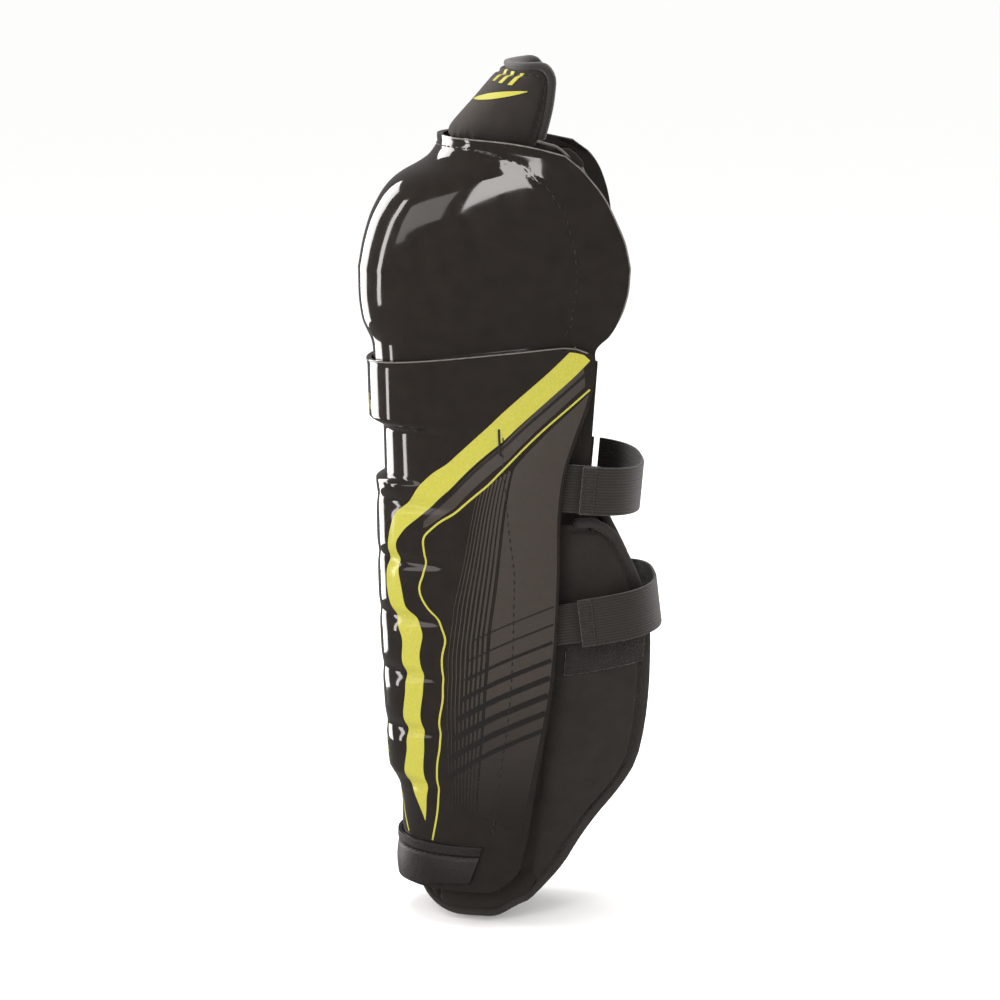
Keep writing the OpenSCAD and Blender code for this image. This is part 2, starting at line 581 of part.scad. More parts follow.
tab_narrow = 21;
module upper_strap_lateral_tab() {
    color(elastic) strap_lateral_tab(z_upper, upper_tilt, upper_strap_back, strap_w);
}
module upper_strap_medial_tab() {
    color(elastic) strap_medial_tab(z_upper, upper_tilt, upper_strap_back);
}
module upper_strap_band() {
    color(elastic) strap_band(z_upper, upper_tilt, upper_strap_back);
}
module upper_strap_hook() {
    color(trim) strap_hook(z_upper, upper_tilt, upper_strap_back);
}
module lower_strap_lateral_tab() {
    color(elastic) strap_lateral_tab(z_lower, lower_tilt, lower_strap_back, tab_narrow);
}
module lower_strap_medial_tab() {
    color(elastic) strap_medial_tab(z_lower, lower_tilt, lower_strap_back);
}
module lower_strap_band() {
    color(elastic) strap_band(z_lower, lower_tilt, lower_strap_back);
}
module lower_strap_hook() {
    color(trim) strap_hook(z_lower, lower_tilt, lower_strap_back);
}

ankle_tab_side = 0.72;
module ankle_guard_tab() {
    side = ankle_tab_side;
    color(trim) layer(shin_outer, -layer_gap - ankle_tab_t, -layer_gap,
        function (g) -side, function (g) side,
        function (s) z_ankle, function (s) z_ankle + ankle_tab_h, 18, 2);
}

// Seam sewn around the dome, through cap and foam
module knee_cap_stitching() {
    inset = 0.885;
    z_bend = z_rim - 18;
    half = concat([for (k = [0:8]) [inset, mix(shin_top(inset) + knee_foam_rise - 3, z_bend, k / 8)]],
        [for (k = [1:5]) let (a = 15 * k) [mix(inset, 0.62, 1 - cos(a)), z_bend + 13 * sin(a)]],
        [for (k = [0:5]) [mix(0.6, 0, k / 5), z_rim - 5]]);
    places = concat(half, [for (k = [len(half) - 2:-1:0]) [-half[k][0], half[k][1]]]);
    color(thread) stitches(knee_outer, places);
}

module shin_cap_stitching() {
    for (side = [-1, 1])
        color(thread) stitches(shin_outer, [for (k = [0:12])
            let (z = mix(z_ankle + ankle_tab_h + 5, z_seam - 31, k / 12))
            [side * (0.845 - 0.09 * smooth((shin_f(z) - 0.65) / 0.25)), z]]);
}

module ankle_tab_stitching() {
    tab_face = function (s, z) offset_pt(shin_outer, s, z, layer_gap + ankle_tab_t);
    color(thread) stitches(tab_face, [for (k = [0:16])
        [mix(-1, 1, k / 16) * (ankle_tab_side - 0.02), z_ankle + ankle_tab_h - 3]]);
}

knee_cap_shell();
shin_cap_shell();
knee_cap_foam();
shin_cap_foam();
knee_roll_pad();
lateral_knee_pad();
medial_knee_pad();
shin_liner();
liner_binding();
liner_hook_tabs();
thigh_flap_pad();
thigh_flap_binding();
flap_hinge_tape();
lateral_calf_wrap();
medial_calf_wrap();
lateral_wrap_binding();
medial_wrap_binding();
wrap_loop_patch();
upper_strap_lateral_tab();
upper_strap_medial_tab();
upper_strap_band();
upper_strap_hook();
lower_strap_lateral_tab();
lower_strap_medial_tab();
lower_strap_band();
lower_strap_hook();
ankle_guard_tab();
knee_cap_stitching();
shin_cap_stitching();
ankle_tab_stitching();
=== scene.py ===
import functools
import math

import bmesh
import bpy
import numpy as np
from mathutils import Matrix, Vector
from mathutils.bvhtree import BVHTree


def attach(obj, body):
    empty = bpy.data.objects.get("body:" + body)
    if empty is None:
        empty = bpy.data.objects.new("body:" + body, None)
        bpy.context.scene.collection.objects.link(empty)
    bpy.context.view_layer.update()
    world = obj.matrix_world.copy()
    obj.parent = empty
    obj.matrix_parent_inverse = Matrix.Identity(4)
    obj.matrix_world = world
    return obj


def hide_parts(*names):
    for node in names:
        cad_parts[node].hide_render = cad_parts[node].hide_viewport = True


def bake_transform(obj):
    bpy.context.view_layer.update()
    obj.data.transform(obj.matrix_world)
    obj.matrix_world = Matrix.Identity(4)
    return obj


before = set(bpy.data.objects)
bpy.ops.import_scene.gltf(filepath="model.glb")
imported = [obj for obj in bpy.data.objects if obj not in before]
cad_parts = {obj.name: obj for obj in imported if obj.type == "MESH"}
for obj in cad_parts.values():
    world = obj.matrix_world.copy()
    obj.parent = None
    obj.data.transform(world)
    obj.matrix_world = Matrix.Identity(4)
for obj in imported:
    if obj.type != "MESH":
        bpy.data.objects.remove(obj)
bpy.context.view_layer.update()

bl_info = {
    "name": "Ice Hockey Shin Guard",
    "version": (1, 0, 0),
    "blender": (4, 5, 0),
    "location": "View3D > Sidebar > Shin Guard",
    "description": "Builds the looks of a shin guard around its CAD frame",
    "category": "Add Mesh",
}

MM = 0.001


# ---------------------------------------------------------------- sizes and colours

def linear(code):
    """An sRGB hex colour as the linear RGBA that shaders take."""
    parts = [int(code[i:i + 2], 16) / 255 for i in (1, 3, 5)]
    return tuple(c / 12.92 if c <= 0.04045 else ((c + 0.055) / 1.055) ** 2.4 for c in parts) + (1.0,)


def colour_property(name, description, code):
    return bpy.props.FloatVectorProperty(name=name, description=description, subtype="COLOR", size=4,
                                         min=0.0, max=1.0, default=linear(code))


def length_property(name, description, millimetres):
    return bpy.props.FloatProperty(name=name, description=description, unit="LENGTH", min=0.0,
                                   precision=5, default=millimetres * MM)


class GuardColours(bpy.types.PropertyGroup):
    cap: colour_property("Caps", "Moulded knee cap and shin cap", "#1A1613")
    stripe: colour_property("Stripe", "Wide printed stripe and its fine lines", "#A9A540")
    panel: colour_property("Panel", "Printed panel at the side of the shin cap", "#39322D")
    # Pale colour painted along the caps' edges as a highlight
    cut: colour_property("Cut edges", "Trimmed edges of the caps", "#6F6A65")
    ink: colour_property("Black ink", "Lines printed on the panel", "#1B1816")
    pad: colour_property("Pads", "Brushed knit of the flap and the wraps", "#24201D")
    liner: colour_property("Liner", "Knit of the liner and the inner pads", "#201C19")
    binding: colour_property("Binding", "Folded tape around the pads", "#2A2624")
    elastic: colour_property("Elastic", "Knitted straps", "#28231F")
    pile: colour_property("Pile", "Hook and loop tape", "#1D1917")
    leather: colour_property("Ankle tab", "Coated fabric around the ankle end", "#1B1512")
    foam: colour_property("Foam", "Closed-cell foam under the caps", "#4A4C50")
    thread: colour_property("Thread", "Sewing thread", "#0B0908")
    piping: colour_property("Piping", "Light cord in the edges of the pads", "#6E6964")


class GuardSizes(bpy.types.PropertyGroup):
    rim_flare: length_property("Rim flare", "How far the knee cap's top rim turns out", 0.9)
    stitch_valley: length_property("Stitch valley", "Depth of the groove that the knee cap is sewn in", 0.45)
    ink: length_property("Ink", "Thickness of the printed film", 0.06)
    roll: length_property("Rolled edge", "Radius of the rolled edge of the wraps", 2.7)
    seam: length_property("Seam", "Depth of the seam beside a rolled edge", 1.3)
    thread: length_property("Thread", "Radius of the sewing thread", 0.38)
    piping: length_property("Piping", "Radius of the piping", 0.7)
    swell: bpy.props.FloatProperty(name="Swell", description="Pressure that fills the pads",
                                   default=4.0, min=0.0, soft_max=10.0)


# ---------------------------------------------------------------- shape of the guard
# Sizes of the guard in millimetres, the same ones as in the CAD source
Z_ANKLE = 17.0
SHIN_H = 280.0
KNEE_H = 117.0
FLAP_RISE = 39.0
SHELL_T = 2.2
BAND_H = 7.5
BLOCK_H = 4.7
RIB_PITCH = 30.5
RIB_DEPTH = 2.2
SHIN_TOP_W, ANKLE_W, KNEE_W, FLAP_W = 116.0, 88.0, 133.0, 98.0
KNEE_FRONT, SHIN_FRONT, ANKLE_FRONT, RIM_FRONT = 77.0, 68.0, 55.0, 34.5
KNEE_BACK, SHIN_BACK, WRAP_BACK = 60.0, 26.0, 74.7
CORNER_R = 16.0
LAYER_GAP = 0.6
KNEE_GAP = 1.0
Z_SEAM = Z_ANKLE + SHIN_H
Z_RIM = Z_SEAM + KNEE_H
Z_TOP = Z_RIM + FLAP_RISE

def smooth(v):
    c = np.clip(v, 0.0, 1.0)
    return c * c * (3 - 2 * c)

def mix(a, b, t):
    return a + (b - a) * t

def profile(points, place):
    """Smooth curve through (place, value) points, flat past its ends."""
    x, y = np.array(points, float).T
    chord = np.diff(y) / np.diff(x)
    slope = np.empty(len(x))
    slope[0], slope[-1] = chord[0], chord[-1]
    slope[1:-1] = np.where(chord[:-1] * chord[1:] <= 0, 0, (chord[:-1] + chord[1:]) / 2)
    c = np.clip(place, x[0], x[-1])
    i = np.clip(np.searchsorted(x, c, side="right") - 1, 0, len(x) - 2)
    w = x[i + 1] - x[i]
    t = (c - x[i]) / w
    t2, t3 = t * t, t * t * t
    return (y[i] * (2 * t3 - 3 * t2 + 1) + slope[i] * w * (t3 - 2 * t2 + t)
            + y[i + 1] * (3 * t2 - 2 * t3) + slope[i + 1] * w * (t3 - t2))

NOSE, HIP = 0.62, 0.4

def level(s, z, front, back, half):
    """Point of a level section: s is -1 at the inner back edge, 0 in front, 1 at the outer one."""
    q = np.abs(s)
    u = np.minimum(q, 1.0)
    a, b, c, d = (1 - u) ** 3, 3 * u * (1 - u) ** 2, 3 * u * u * (1 - u), u ** 3
    x = (b * NOSE + c + d) * half
    y = (a + b) * front + c * mix(front, back, HIP) + d * back
    y = y + np.maximum(q - 1, 0) * 3 * (1 - HIP) * (back - front)
    return np.stack([np.sign(s) * x, y, z + 0 * s], -1)

SHIN_EDGE = ((0, -25), (0.05, -20), (0.24, -10.5), (0.4, -3.7), (0.6, -0.8), (0.75, 0),
             (0.82, 3), (0.88, 8.5), (0.94, 14.5), (1, 17.5), (1.06, 16))
SHIN_BOW = ((0, 0), (0.13, 0), (0.2, 0.15), (0.5, 0.54), (0.84, 0.69), (1, 0.77), (1.1, 0.8))
SHIN_SWELL = ((-0.05, 0), (0, 0), (0.25, 0.27), (0.5, 0.7), (0.75, 0.92), (1, 1), (1.1, 1))
BAND_BOTTOM, BLOCK_TOP, BLOCK_BOTTOM, FIRST_GROOVE, GROOVE_WIDE = 0.872, 0.786, 0.175, 13.0, 4.5
SIDE_LIFT = 14.0

def shin_f(z):
    return (z - Z_ANKLE) / SHIN_H

def shin_half(z):
    return mix(ANKLE_W, SHIN_TOP_W, profile(SHIN_SWELL, shin_f(z))) / 2

def shin_yback(z):
    return SHIN_BACK + profile(SHIN_EDGE, shin_f(z))

def shin_yfront(z):
    return -mix(ANKLE_FRONT, SHIN_FRONT, profile(SHIN_BOW, shin_f(z)))

def shin_plain(s, z):
    return level(s, z, shin_yfront(z), shin_yback(z), shin_half(z))

def groove_levels():
    count = int(((BLOCK_TOP - BLOCK_BOTTOM) * SHIN_H - FIRST_GROOVE) // RIB_PITCH) + 1
    return [Z_ANKLE + BLOCK_TOP * SHIN_H - FIRST_GROOVE - i * RIB_PITCH for i in range(count)]

def relief(s, z):
    f, q = shin_f(z), np.abs(s)
    band = BAND_H * smooth((f - BAND_BOTTOM) / 0.022) * (1 - smooth((q - 0.2) / 0.55))
    block = smooth((BLOCK_TOP - f) / 0.014) * smooth((f - BLOCK_BOTTOM) / 0.05) * (1 - smooth((q - 0.12) / 0.4))
    grooves = sum(np.exp(-((z - g) / GROOVE_WIDE) ** 2) for g in groove_levels())
    # The ribs are shallow on the nose and pinch in beside it
    deep = mix(0.35, 1.0, smooth((q - 0.05) / 0.2))
    pinch = smooth((q - 0.06) / 0.3) * (1 - smooth((q - 0.46) / 0.22))
    crisp = sum(np.exp(-((z - g) / 3.4) ** 2) for g in groove_levels()) * pinch
    return band + block * (BLOCK_H - RIB_DEPTH * deep * grooves) - 1.5 * crisp

def unit(v):
    return v / np.maximum(np.linalg.norm(v, axis=-1, keepdims=True), 1e-9)

def normal(surface, s, z):
    ds, dz = 0.004, 0.4
    return unit(np.cross(surface(s + ds, z) - surface(s - ds, z), surface(s, z + dz) - surface(s, z - dz)))

def offset(surface, s, z, d):
    n = normal(surface, s, z)
    return surface(s, z) + (d[..., None] if np.ndim(d) else d) * n

def shin_outer(s, z):
    return shin_plain(s, z) + relief(s, z)[..., None] * normal(shin_plain, s, z)

def shin_top(s):
    return Z_SEAM + SIDE_LIFT * np.abs(s) ** 1.6

def corner(s, start):
    q = np.clip((np.abs(s) - start) / (1 - start), 0, 1)
    return 1 - np.sqrt(1 - q * q)

DOME_LOW = ((0, 0), (0.06, 0.2), (0.125, 0.55), (0.25, 0.92), (0.41, 1))
DOME_HIGH = ((0.41, 1), (0.55, 0.925), (0.68, 0.8), (0.79, 0.6), (0.835, 0.44), (0.868, 0.27),
             (0.9, 0.14), (0.95, 0.04), (1, 0))
EAR_LOW = ((-0.1, 0), (0.05, 0.05), (0.19, 0.62), (0.33, 0.93), (0.45, 1))
EAR_HIGH = ((0.45, 1), (0.56, 0.93), (0.65, 0.82), (0.763, 0.65), (0.883, 0.36), (0.94, 0.2), (1, 0.1))
MEDIAL_EAR_HIGH = ((0.45, 1), (0.56, 1.03), (0.66, 1), (0.74, 0.94), (0.82, 0.84), (0.885, 0.69),
                   (0.93, 0.51), (1, 0.3))
KNEE_BULGE = ((-0.1, 0), (0.05, 0.05), (0.12, 0.25), (0.25, 0.62), (0.42, 0.94), (0.6, 1), (0.8, 0.92), (1, 0.6))
EAR_SEAT, EAR_TOP, RIM_DROP, KNEE_BLEND, EAR_REACH, SEAM_TUCK = 43.0, 20.0, 8.0, 20.0, 9.0, 8.0

def knee_own(s, z):
    f = (z - Z_SEAM) / KNEE_H
    seat_front = -shin_yfront(Z_SEAM) + BAND_H - SHELL_T - KNEE_GAP
    seat_half = SHIN_TOP_W / 2 - SHELL_T - KNEE_GAP
    front = np.where(f < 0.41, -mix(seat_front, KNEE_FRONT, profile(DOME_LOW, f)),
                     -mix(RIM_FRONT, KNEE_FRONT, profile(DOME_HIGH, f)))
    high = np.where(s < 0, profile(MEDIAL_EAR_HIGH, f), profile(EAR_HIGH, f))
    back = np.where(f < 0.45, mix(EAR_SEAT, KNEE_BACK, profile(EAR_LOW, f)), mix(EAR_TOP, KNEE_BACK, high))
    half = mix(seat_half, KNEE_W / 2, profile(KNEE_BULGE, f))
    return level(s, z, front, back, half)

def knee_outer(s, z):
    up = z - shin_top(s) - 1
    early = EAR_REACH * np.abs(s) ** 6
    k = smooth(up / KNEE_BLEND)
    ky = smooth((up + early) / (KNEE_BLEND - early))
    seat = offset(shin_outer, s, z, -SHELL_T - KNEE_GAP)
    own = knee_own(s, z)
    return np.stack([mix(seat[..., 0], own[..., 0], k), mix(seat[..., 1], own[..., 1], ky),
                     mix(seat[..., 2], z, k)], -1)


def loop_point(angle, half, back, depth):
    """Point of a strap's loop, an angle in degrees round from its outer side, in its own plane."""
    c, v = np.cos(np.radians(angle)), np.sin(np.radians(angle))
    up = np.maximum(v, 0)
    r = (np.abs(c) ** STRAP_BOW + up ** STRAP_BOW) ** (-1 / STRAP_BOW)
    nx, ny = np.sign(c) * np.abs(c) ** (STRAP_BOW - 1), up ** (STRAP_BOW - 1) * 0.9 + 1e-6
    n = np.hypot(nx, ny)
    x = mix(half[1], half[0], (1 + c) / 2) * r * c + depth * nx / n
    y = STRAP_MID_Y + np.where(v < 0, v * half[0], (back - STRAP_MID_Y) * r * v) + depth * ny / n
    return x, y


def loop_angle(y, half, back):
    """Angle at which the loop passes a given y on its outer side."""
    lo, hi = -25.0, 89.0
    for _ in range(24):
        mid = (lo + hi) / 2
        if loop_point(np.float64(mid), half, back, 0)[1] < y:
            lo = mid
        else:
            hi = mid
    return (lo + hi) / 2


def strap_half(z):
    inside = float(shin_half(np.float64(z - 0.75 * STRAP_W))) - SHELL_T
    return inside + HOOK_T, inside - SWING_GAP - STRAP_T


STRAP_W, STRAP_T, HOOK_T, SWING_GAP = 25.0, 1.8, 1.2, 0.6
STRAP_BOW, STRAP_MID_Y, SWING_Y = 3.0, 30.0, 52.0
STRAP_END_Y, STRAP_SEAM_Y, STRAP_TAB_Y = 36.0, 12.0, 46.0
UPPER = {"z": Z_SEAM - 62, "tilt": -5.0, "back": 70.0}
LOWER = {"z": Z_SEAM - 134, "tilt": 7.0, "back": 80.0}

# Layers behind a cap, as distances inwards from its outer face
FOAM_OUT = SHELL_T + LAYER_GAP
SHIN_FOAM_IN = FOAM_OUT + 5
KNEE_FOAM_IN = FOAM_OUT + 6
LINER_OUT = SHIN_FOAM_IN + HOOK_T + 2 * LAYER_GAP
LINER_IN = LINER_OUT + 6
LINER_MID = (LINER_OUT + LINER_IN) / 2
ROLL_R = 6.5
ROLL_MID = KNEE_FOAM_IN + 2 * LAYER_GAP + 1.2 + LAYER_GAP + ROLL_R

# Calf wraps
Z_WRAP_LO, Z_WRAP_HI = Z_ANKLE + 3, Z_SEAM - 80
WRAP_OUTLINE = ((0, 0.04), (0.053, 0.184), (0.125, 0.328), (0.19, 0.49), (0.254, 0.69), (0.317, 0.85),
                (0.391, 0.93), (0.486, 0.98), (0.594, 1), (0.705, 0.99), (0.807, 0.895), (0.9, 0.706),
                (0.973, 0.468), (1, 0.206))
WRAP_CURL, WRAP_BELLY, WRAP_T, HINGE_ROOM = 15.0, 1.0, 7.0, 6.0


def hinge_point(z):
    lo = (float(shin_half(Z_WRAP_LO)) - LINER_MID, float(shin_yback(Z_WRAP_LO)) + 2.6 * HINGE_ROOM)
    hi = (float(shin_half(Z_WRAP_HI)) - LINER_MID, float(shin_yback(Z_WRAP_HI)) + HINGE_ROOM)
    f = (z - Z_WRAP_LO) / (Z_WRAP_HI - Z_WRAP_LO)
    return mix(lo[0], hi[0], f), mix(lo[1], hi[1], f)


def wrap_reach(z):
    f = (z - Z_WRAP_LO) / (Z_WRAP_HI - Z_WRAP_LO)
    return (WRAP_BACK - hinge_point(z)[1]) * profile(WRAP_OUTLINE, f)


def wrap_sheet(y, z):
    """Points of the middle face of the outer wrap, and the way out of it at each."""
    hx, hy = hinge_point(z)
    q = np.maximum(y - hy, 0) / (WRAP_BACK - hy)
    slope = (WRAP_BELLY * (1 - 2 * q) - 2 * WRAP_CURL * q) / (WRAP_BACK - hy)
    out = unit(np.stack([np.ones_like(q), -slope, 0 * q], -1))
    return np.stack([hx + WRAP_BELLY * q * (1 - q) - WRAP_CURL * q * q, y, z + 0 * q], -1), out


def liner_yedge(z):
    low = hinge_point(z)[1]
    high = hinge_point(Z_WRAP_HI)[1]
    f = (z - Z_WRAP_HI - SWING_GAP) / (Z_SEAM + 3 - Z_WRAP_HI)
    side = profile(((0, 0), (0.03, 0.1), (0.18, 0.72), (0.4, 0.8), (1, 1)), f)
    return np.where(z <= Z_WRAP_HI + SWING_GAP, low, high + 18.5 * side) - WRAP_T / 2 - 2 * SWING_GAP


def liner_s(z):
    return 1 + (liner_yedge(z) - shin_yback(z)) / (3 * (1 - HIP) * (shin_yback(z) - shin_yfront(z)))


def liner_zlo(s):
    return 4.2 + 9 * (1 - smooth(np.abs(s) / 0.65)) + 9 * smooth((np.abs(s) - 0.88) / 0.25)


# Thigh flap
Z_FLAP_LO, FLAP_T, FLAP_CORNER = Z_RIM - 5, 9.0, 9.0
FLAP_LEAN = ((0, -3.1), (0.14, -3.4), (0.25, 0), (0.55, 12.2), (1, 29.5))
FLAP_SIDE = ((0, 51), (0.5, 56), (1, 57.5))


def flap_outer(s, z):
    f = (z - Z_FLAP_LO) / (Z_TOP - Z_FLAP_LO)
    front = profile(FLAP_LEAN, f) - RIM_FRONT + 6
    return level(s, z, front, profile(FLAP_SIDE, f) - RIM_FRONT, FLAP_W / 2 * mix(1, 0.94, f))


# ---------------------------------------------------------------- mesh building

def new_grid(columns, rows):
    """A bmesh grid whose vertices know their place across and up, each from 0 to 1."""
    bm = bmesh.new()
    across, up = bm.verts.layers.float.new("across"), bm.verts.layers.float.new("up")
    bmesh.ops.create_grid(bm, x_segments=columns, y_segments=rows, size=1)
    for v in bm.verts:
        v[across], v[up] = (v.co.x + 1) / 2, (v.co.y + 1) / 2
    return bm, across, up


def put(verts, across, up, place):
    a = np.array([v[across] for v in verts])
    b = np.array([v[up] for v in verts])
    for v, point in zip(verts, place(a, b) * MM):
        v.co = point


def lay_cloth_map(bm, across, up, place):
    """A UV map in metres: u runs across and v up the piece."""
    line = np.linspace(0, 1, 40)
    rows = place(line, 0 * line + 0.5), place(0 * line + 0.5, line)
    wide, tall = (np.linalg.norm(np.diff(p, axis=0), axis=1).sum() * MM for p in rows)
    uv = bm.loops.layers.uv.new("Cloth")
    for face in bm.faces:
        for loop in face.loops:
            loop[uv].uv = (loop.vert[across] * wide, loop.vert[up] * tall)


def slab(columns, rows, outer, inner):
    """Closed slab between two faces, each given as a function of the place across and up."""
    bm, across, up = new_grid(columns, rows)
    front = list(bm.verts)
    made = bmesh.ops.extrude_face_region(bm, geom=bm.faces[:])["geom"]
    back = [g for g in made if isinstance(g, bmesh.types.BMVert)]
    put(front, across, up, outer)
    put(back, across, up, inner)
    bmesh.ops.recalc_face_normals(bm, faces=bm.faces)
    lay_cloth_map(bm, across, up, outer)
    return bm


def resample(points, count, closed=False):
    """Evenly spaced points along a polyline."""
    p = np.array(points, float)
    if closed:
        p = np.vstack([p, p[:1]])
    d = np.concatenate([[0], np.cumsum(np.linalg.norm(np.diff(p, axis=0), axis=1))])
    t = np.linspace(0, d[-1], count)
    return np.stack([np.interp(t, d, p[:, k]) for k in range(p.shape[1])], -1)


def tube(path, normals, wide, tall, sides=12, closed=False):
    """Round cord along a path; wide lies along the surface and tall stands off it. Ends are round."""
    path, normals = np.array(path), np.array(normals)
    count = len(path)
    wide, tall = (np.zeros(count) + r for r in (wide, tall))
    tangent = np.gradient(path, axis=0)
    if closed:
        tangent[0] = tangent[-1] = path[1] - path[-2]
    tangent = unit(tangent)
    side = unit(np.cross(tangent, normals))
    high = np.cross(side, tangent)
    d = np.concatenate([[0], np.cumsum(np.linalg.norm(np.diff(path, axis=0), axis=1))])
    end = np.minimum(d, d[-1] - d) / wide
    full = np.ones(count) if closed else np.sqrt(np.clip(1 - (1 - np.clip(end, 0, 1)) ** 2, 0, 1))

    def place(a, b):
        i = np.clip(np.rint(b * (count - 1)).astype(int), 0, count - 1)
        w = 2 * math.pi * a
        off = (wide[i] * np.cos(w))[:, None] * side[i] + (tall[i] * np.sin(w))[:, None] * high[i]
        return path[i] + full[i][:, None] * off
    bm, across, up = new_grid(sides, count - 1)
    put(list(bm.verts), across, up, place)
    uv = bm.loops.layers.uv.new("Cloth")
    around = 2 * math.pi * wide.mean() * MM
    for face in bm.faces:
        for loop in face.loops:
            loop[uv].uv = (loop.vert[across] * around, loop.vert[up] * d[-1] * MM)
    bmesh.ops.remove_doubles(bm, verts=bm.verts, dist=1e-7)
    bmesh.ops.recalc_face_normals(bm, faces=bm.faces)
    return bm


def surface_path(surface, places, count, depth=0.0, closed=False):
    """Evenly spaced points along (s, z) places on a surface, at a depth inwards, and their normals."""
    fine = resample(places, 20 * count, closed)
    points = offset(surface, fine[:, 0], fine[:, 1], -depth)
    d = np.concatenate([[0], np.cumsum(np.linalg.norm(np.diff(points, axis=0), axis=1))])
    t = np.linspace(0, d[-1], count)
    s, z = np.interp(t, d, fine[:, 0]), np.interp(t, d, fine[:, 1])
    return offset(surface, s, z, -depth), normal(surface, s, z)


def join(target, source):
    """Adds one bmesh to another."""
    mesh = bpy.data.meshes.new("part")
    source.to_mesh(mesh)
    source.free()
    target.from_mesh(mesh)
    bpy.data.meshes.remove(mesh)
    return target


def piece(name, bm, material, body=None, replaces=(), bevel=0.0, levels=0, segments=2):
    """Turns a bmesh into a finished piece that rides on a body and stands for its CAD nodes."""
    mesh = bpy.data.meshes.new(name)
    bm.to_mesh(mesh)
    bm.free()
    mesh.polygons.foreach_set("use_smooth", [True] * len(mesh.polygons))
    made = bpy.data.objects.new(name, mesh)
    bpy.context.scene.collection.objects.link(made)
    mesh.materials.append(material)
    if not bevel:
        mesh.set_sharp_from_angle(angle=math.radians(50))
    if bevel:
        edge = made.modifiers.new("Rim", "BEVEL")
        edge.width, edge.segments, edge.limit_method = bevel * MM, segments, "ANGLE"
        edge.angle_limit, edge.harden_normals = math.radians(40), True
    if levels:
        soft = made.modifiers.new("Smooth", "SUBSURF")
        soft.levels = soft.render_levels = levels
    if body:
        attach(made, body)
    if replaces:
        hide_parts(*replaces)
    return made


def read_points(mesh):
    co = np.empty(len(mesh.vertices) * 3)
    mesh.vertices.foreach_get("co", co)
    return co.reshape(-1, 3)


def write_points(mesh, points):
    mesh.vertices.foreach_set("co", np.ascontiguousarray(points, float).ravel())
    mesh.update()


def remeshed(bm, voxel, smoothing):
    """The bmesh as even quads, with its edges rounded off."""
    mesh = bpy.data.meshes.new("pad")
    bm.to_mesh(mesh)
    bm.free()
    made = bpy.data.objects.new("pad", mesh)
    bpy.context.scene.collection.objects.link(made)
    even = made.modifiers.new("Even", "REMESH")
    even.mode, even.voxel_size = "VOXEL", voxel * MM
    round_off = made.modifiers.new("Round", "SMOOTH")
    round_off.factor, round_off.iterations = 0.5, smoothing
    return bake_modifiers(made)


def bake_modifiers(made):
    """Applies an object's modifiers to its mesh."""
    bpy.context.view_layer.update()
    seen = made.evaluated_get(bpy.context.evaluated_depsgraph_get())
    mesh = bpy.data.meshes.new_from_object(seen)
    made.modifiers.clear()
    old, made.data = made.data, mesh
    bpy.data.meshes.remove(old)
    return made


def inflate(made, pressure, cap):
    """Fills a closed pad with air for 20 frames; no point moves further than cap millimetres."""
    scene = bpy.context.scene
    rest = read_points(made.data)
    cloth = made.modifiers.new("Cloth", "CLOTH")
    cloth.settings.use_pressure = True
    cloth.settings.uniform_pressure_force = pressure
    cloth.settings.quality = 4
    cloth.settings.effector_weights.gravity = 0
    cloth.collision_settings.use_collision = False
    scene.frame_start, scene.frame_end = 1, 20
    for step in range(1, 21):
        scene.frame_set(step)
    bake_modifiers(made)
    scene.frame_set(1)
    move = read_points(made.data) - rest
    move -= move.mean(axis=0)
    far = np.linalg.norm(move, axis=1, keepdims=True)
    move *= np.minimum(1, cap * MM / np.maximum(far, 1e-9))
    write_points(made.data, rest + move)
    return made


def refine(made, levels):
    soft = made.modifiers.new("Fine", "SUBSURF")
    soft.levels = soft.render_levels = levels
    return bake_modifiers(made)


def press(made, depth_at):
    """Moves each point inwards along its normal by depth_at(points in mm), in mm."""
    mesh = made.data
    points = read_points(mesh)
    normals = np.empty(len(mesh.vertices) * 3)
    mesh.vertices.foreach_get("normal", normals)
    depth = depth_at(points / MM)
    write_points(mesh, points - normals.reshape(-1, 3) * depth[:, None] * MM)
    return made


def pad(name, bm, material, body, slot, replaces, voxel=4.0, smoothing=4, pressure=None, cap=3.0,
        fine=2, seams=None, fill=0.6, ride=True):
    """A stuffed piece: even mesh, swollen by cloth simulation, refined and then sewn through."""
    made = remeshed(bm, voxel, smoothing)
    made.name = made.data.name = name
    inflate(made, sizes().swell if pressure is None else pressure, cap)
    refine(made, fine)
    if seams:
        press(made, seams)
    made.data.polygons.foreach_set("use_smooth", [True] * len(made.data.polygons))
    made.data.materials.clear()
    made.data.materials.append(material)
    if ride:
        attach(made, body)
    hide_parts(*replaces)
    return made


def onto(target, points, normals, lift, reach=6):
    """Points moved along their normals to lie lift mm above a piece."""
    bpy.context.view_layer.update()
    tree = BVHTree.FromObject(target, bpy.context.evaluated_depsgraph_get())
    laid = []
    for p, n in zip(np.array(points), np.array(normals)):
        hit = tree.ray_cast(Vector((p + reach * n) * MM), Vector(-n), 2 * reach * MM)[0]
        laid.append(np.array(hit) / MM + lift * n if hit else p)
    return np.array(laid)


def near(points, line):
    """Distance from each point to a line of points."""
    far = np.empty(len(points))
    for k in range(0, len(points), 4000):
        far[k:k + 4000] = np.linalg.norm(points[k:k + 4000, None] - line[None], axis=2).min(axis=1)
    return far


def groove(distance, width, depth):
    return depth * np.exp(-(distance / width) ** 2)


def stitches(surface, places, length, pitch, radius, lift=0.1, closed=False):
    """Row of thread ellipsoids along (s, z) places on a surface."""
    bm = bmesh.new()
    points, normals = surface_path(surface, places, 400, closed=closed)
    return thread_row(bm, points, normals, length, pitch, radius, lift)


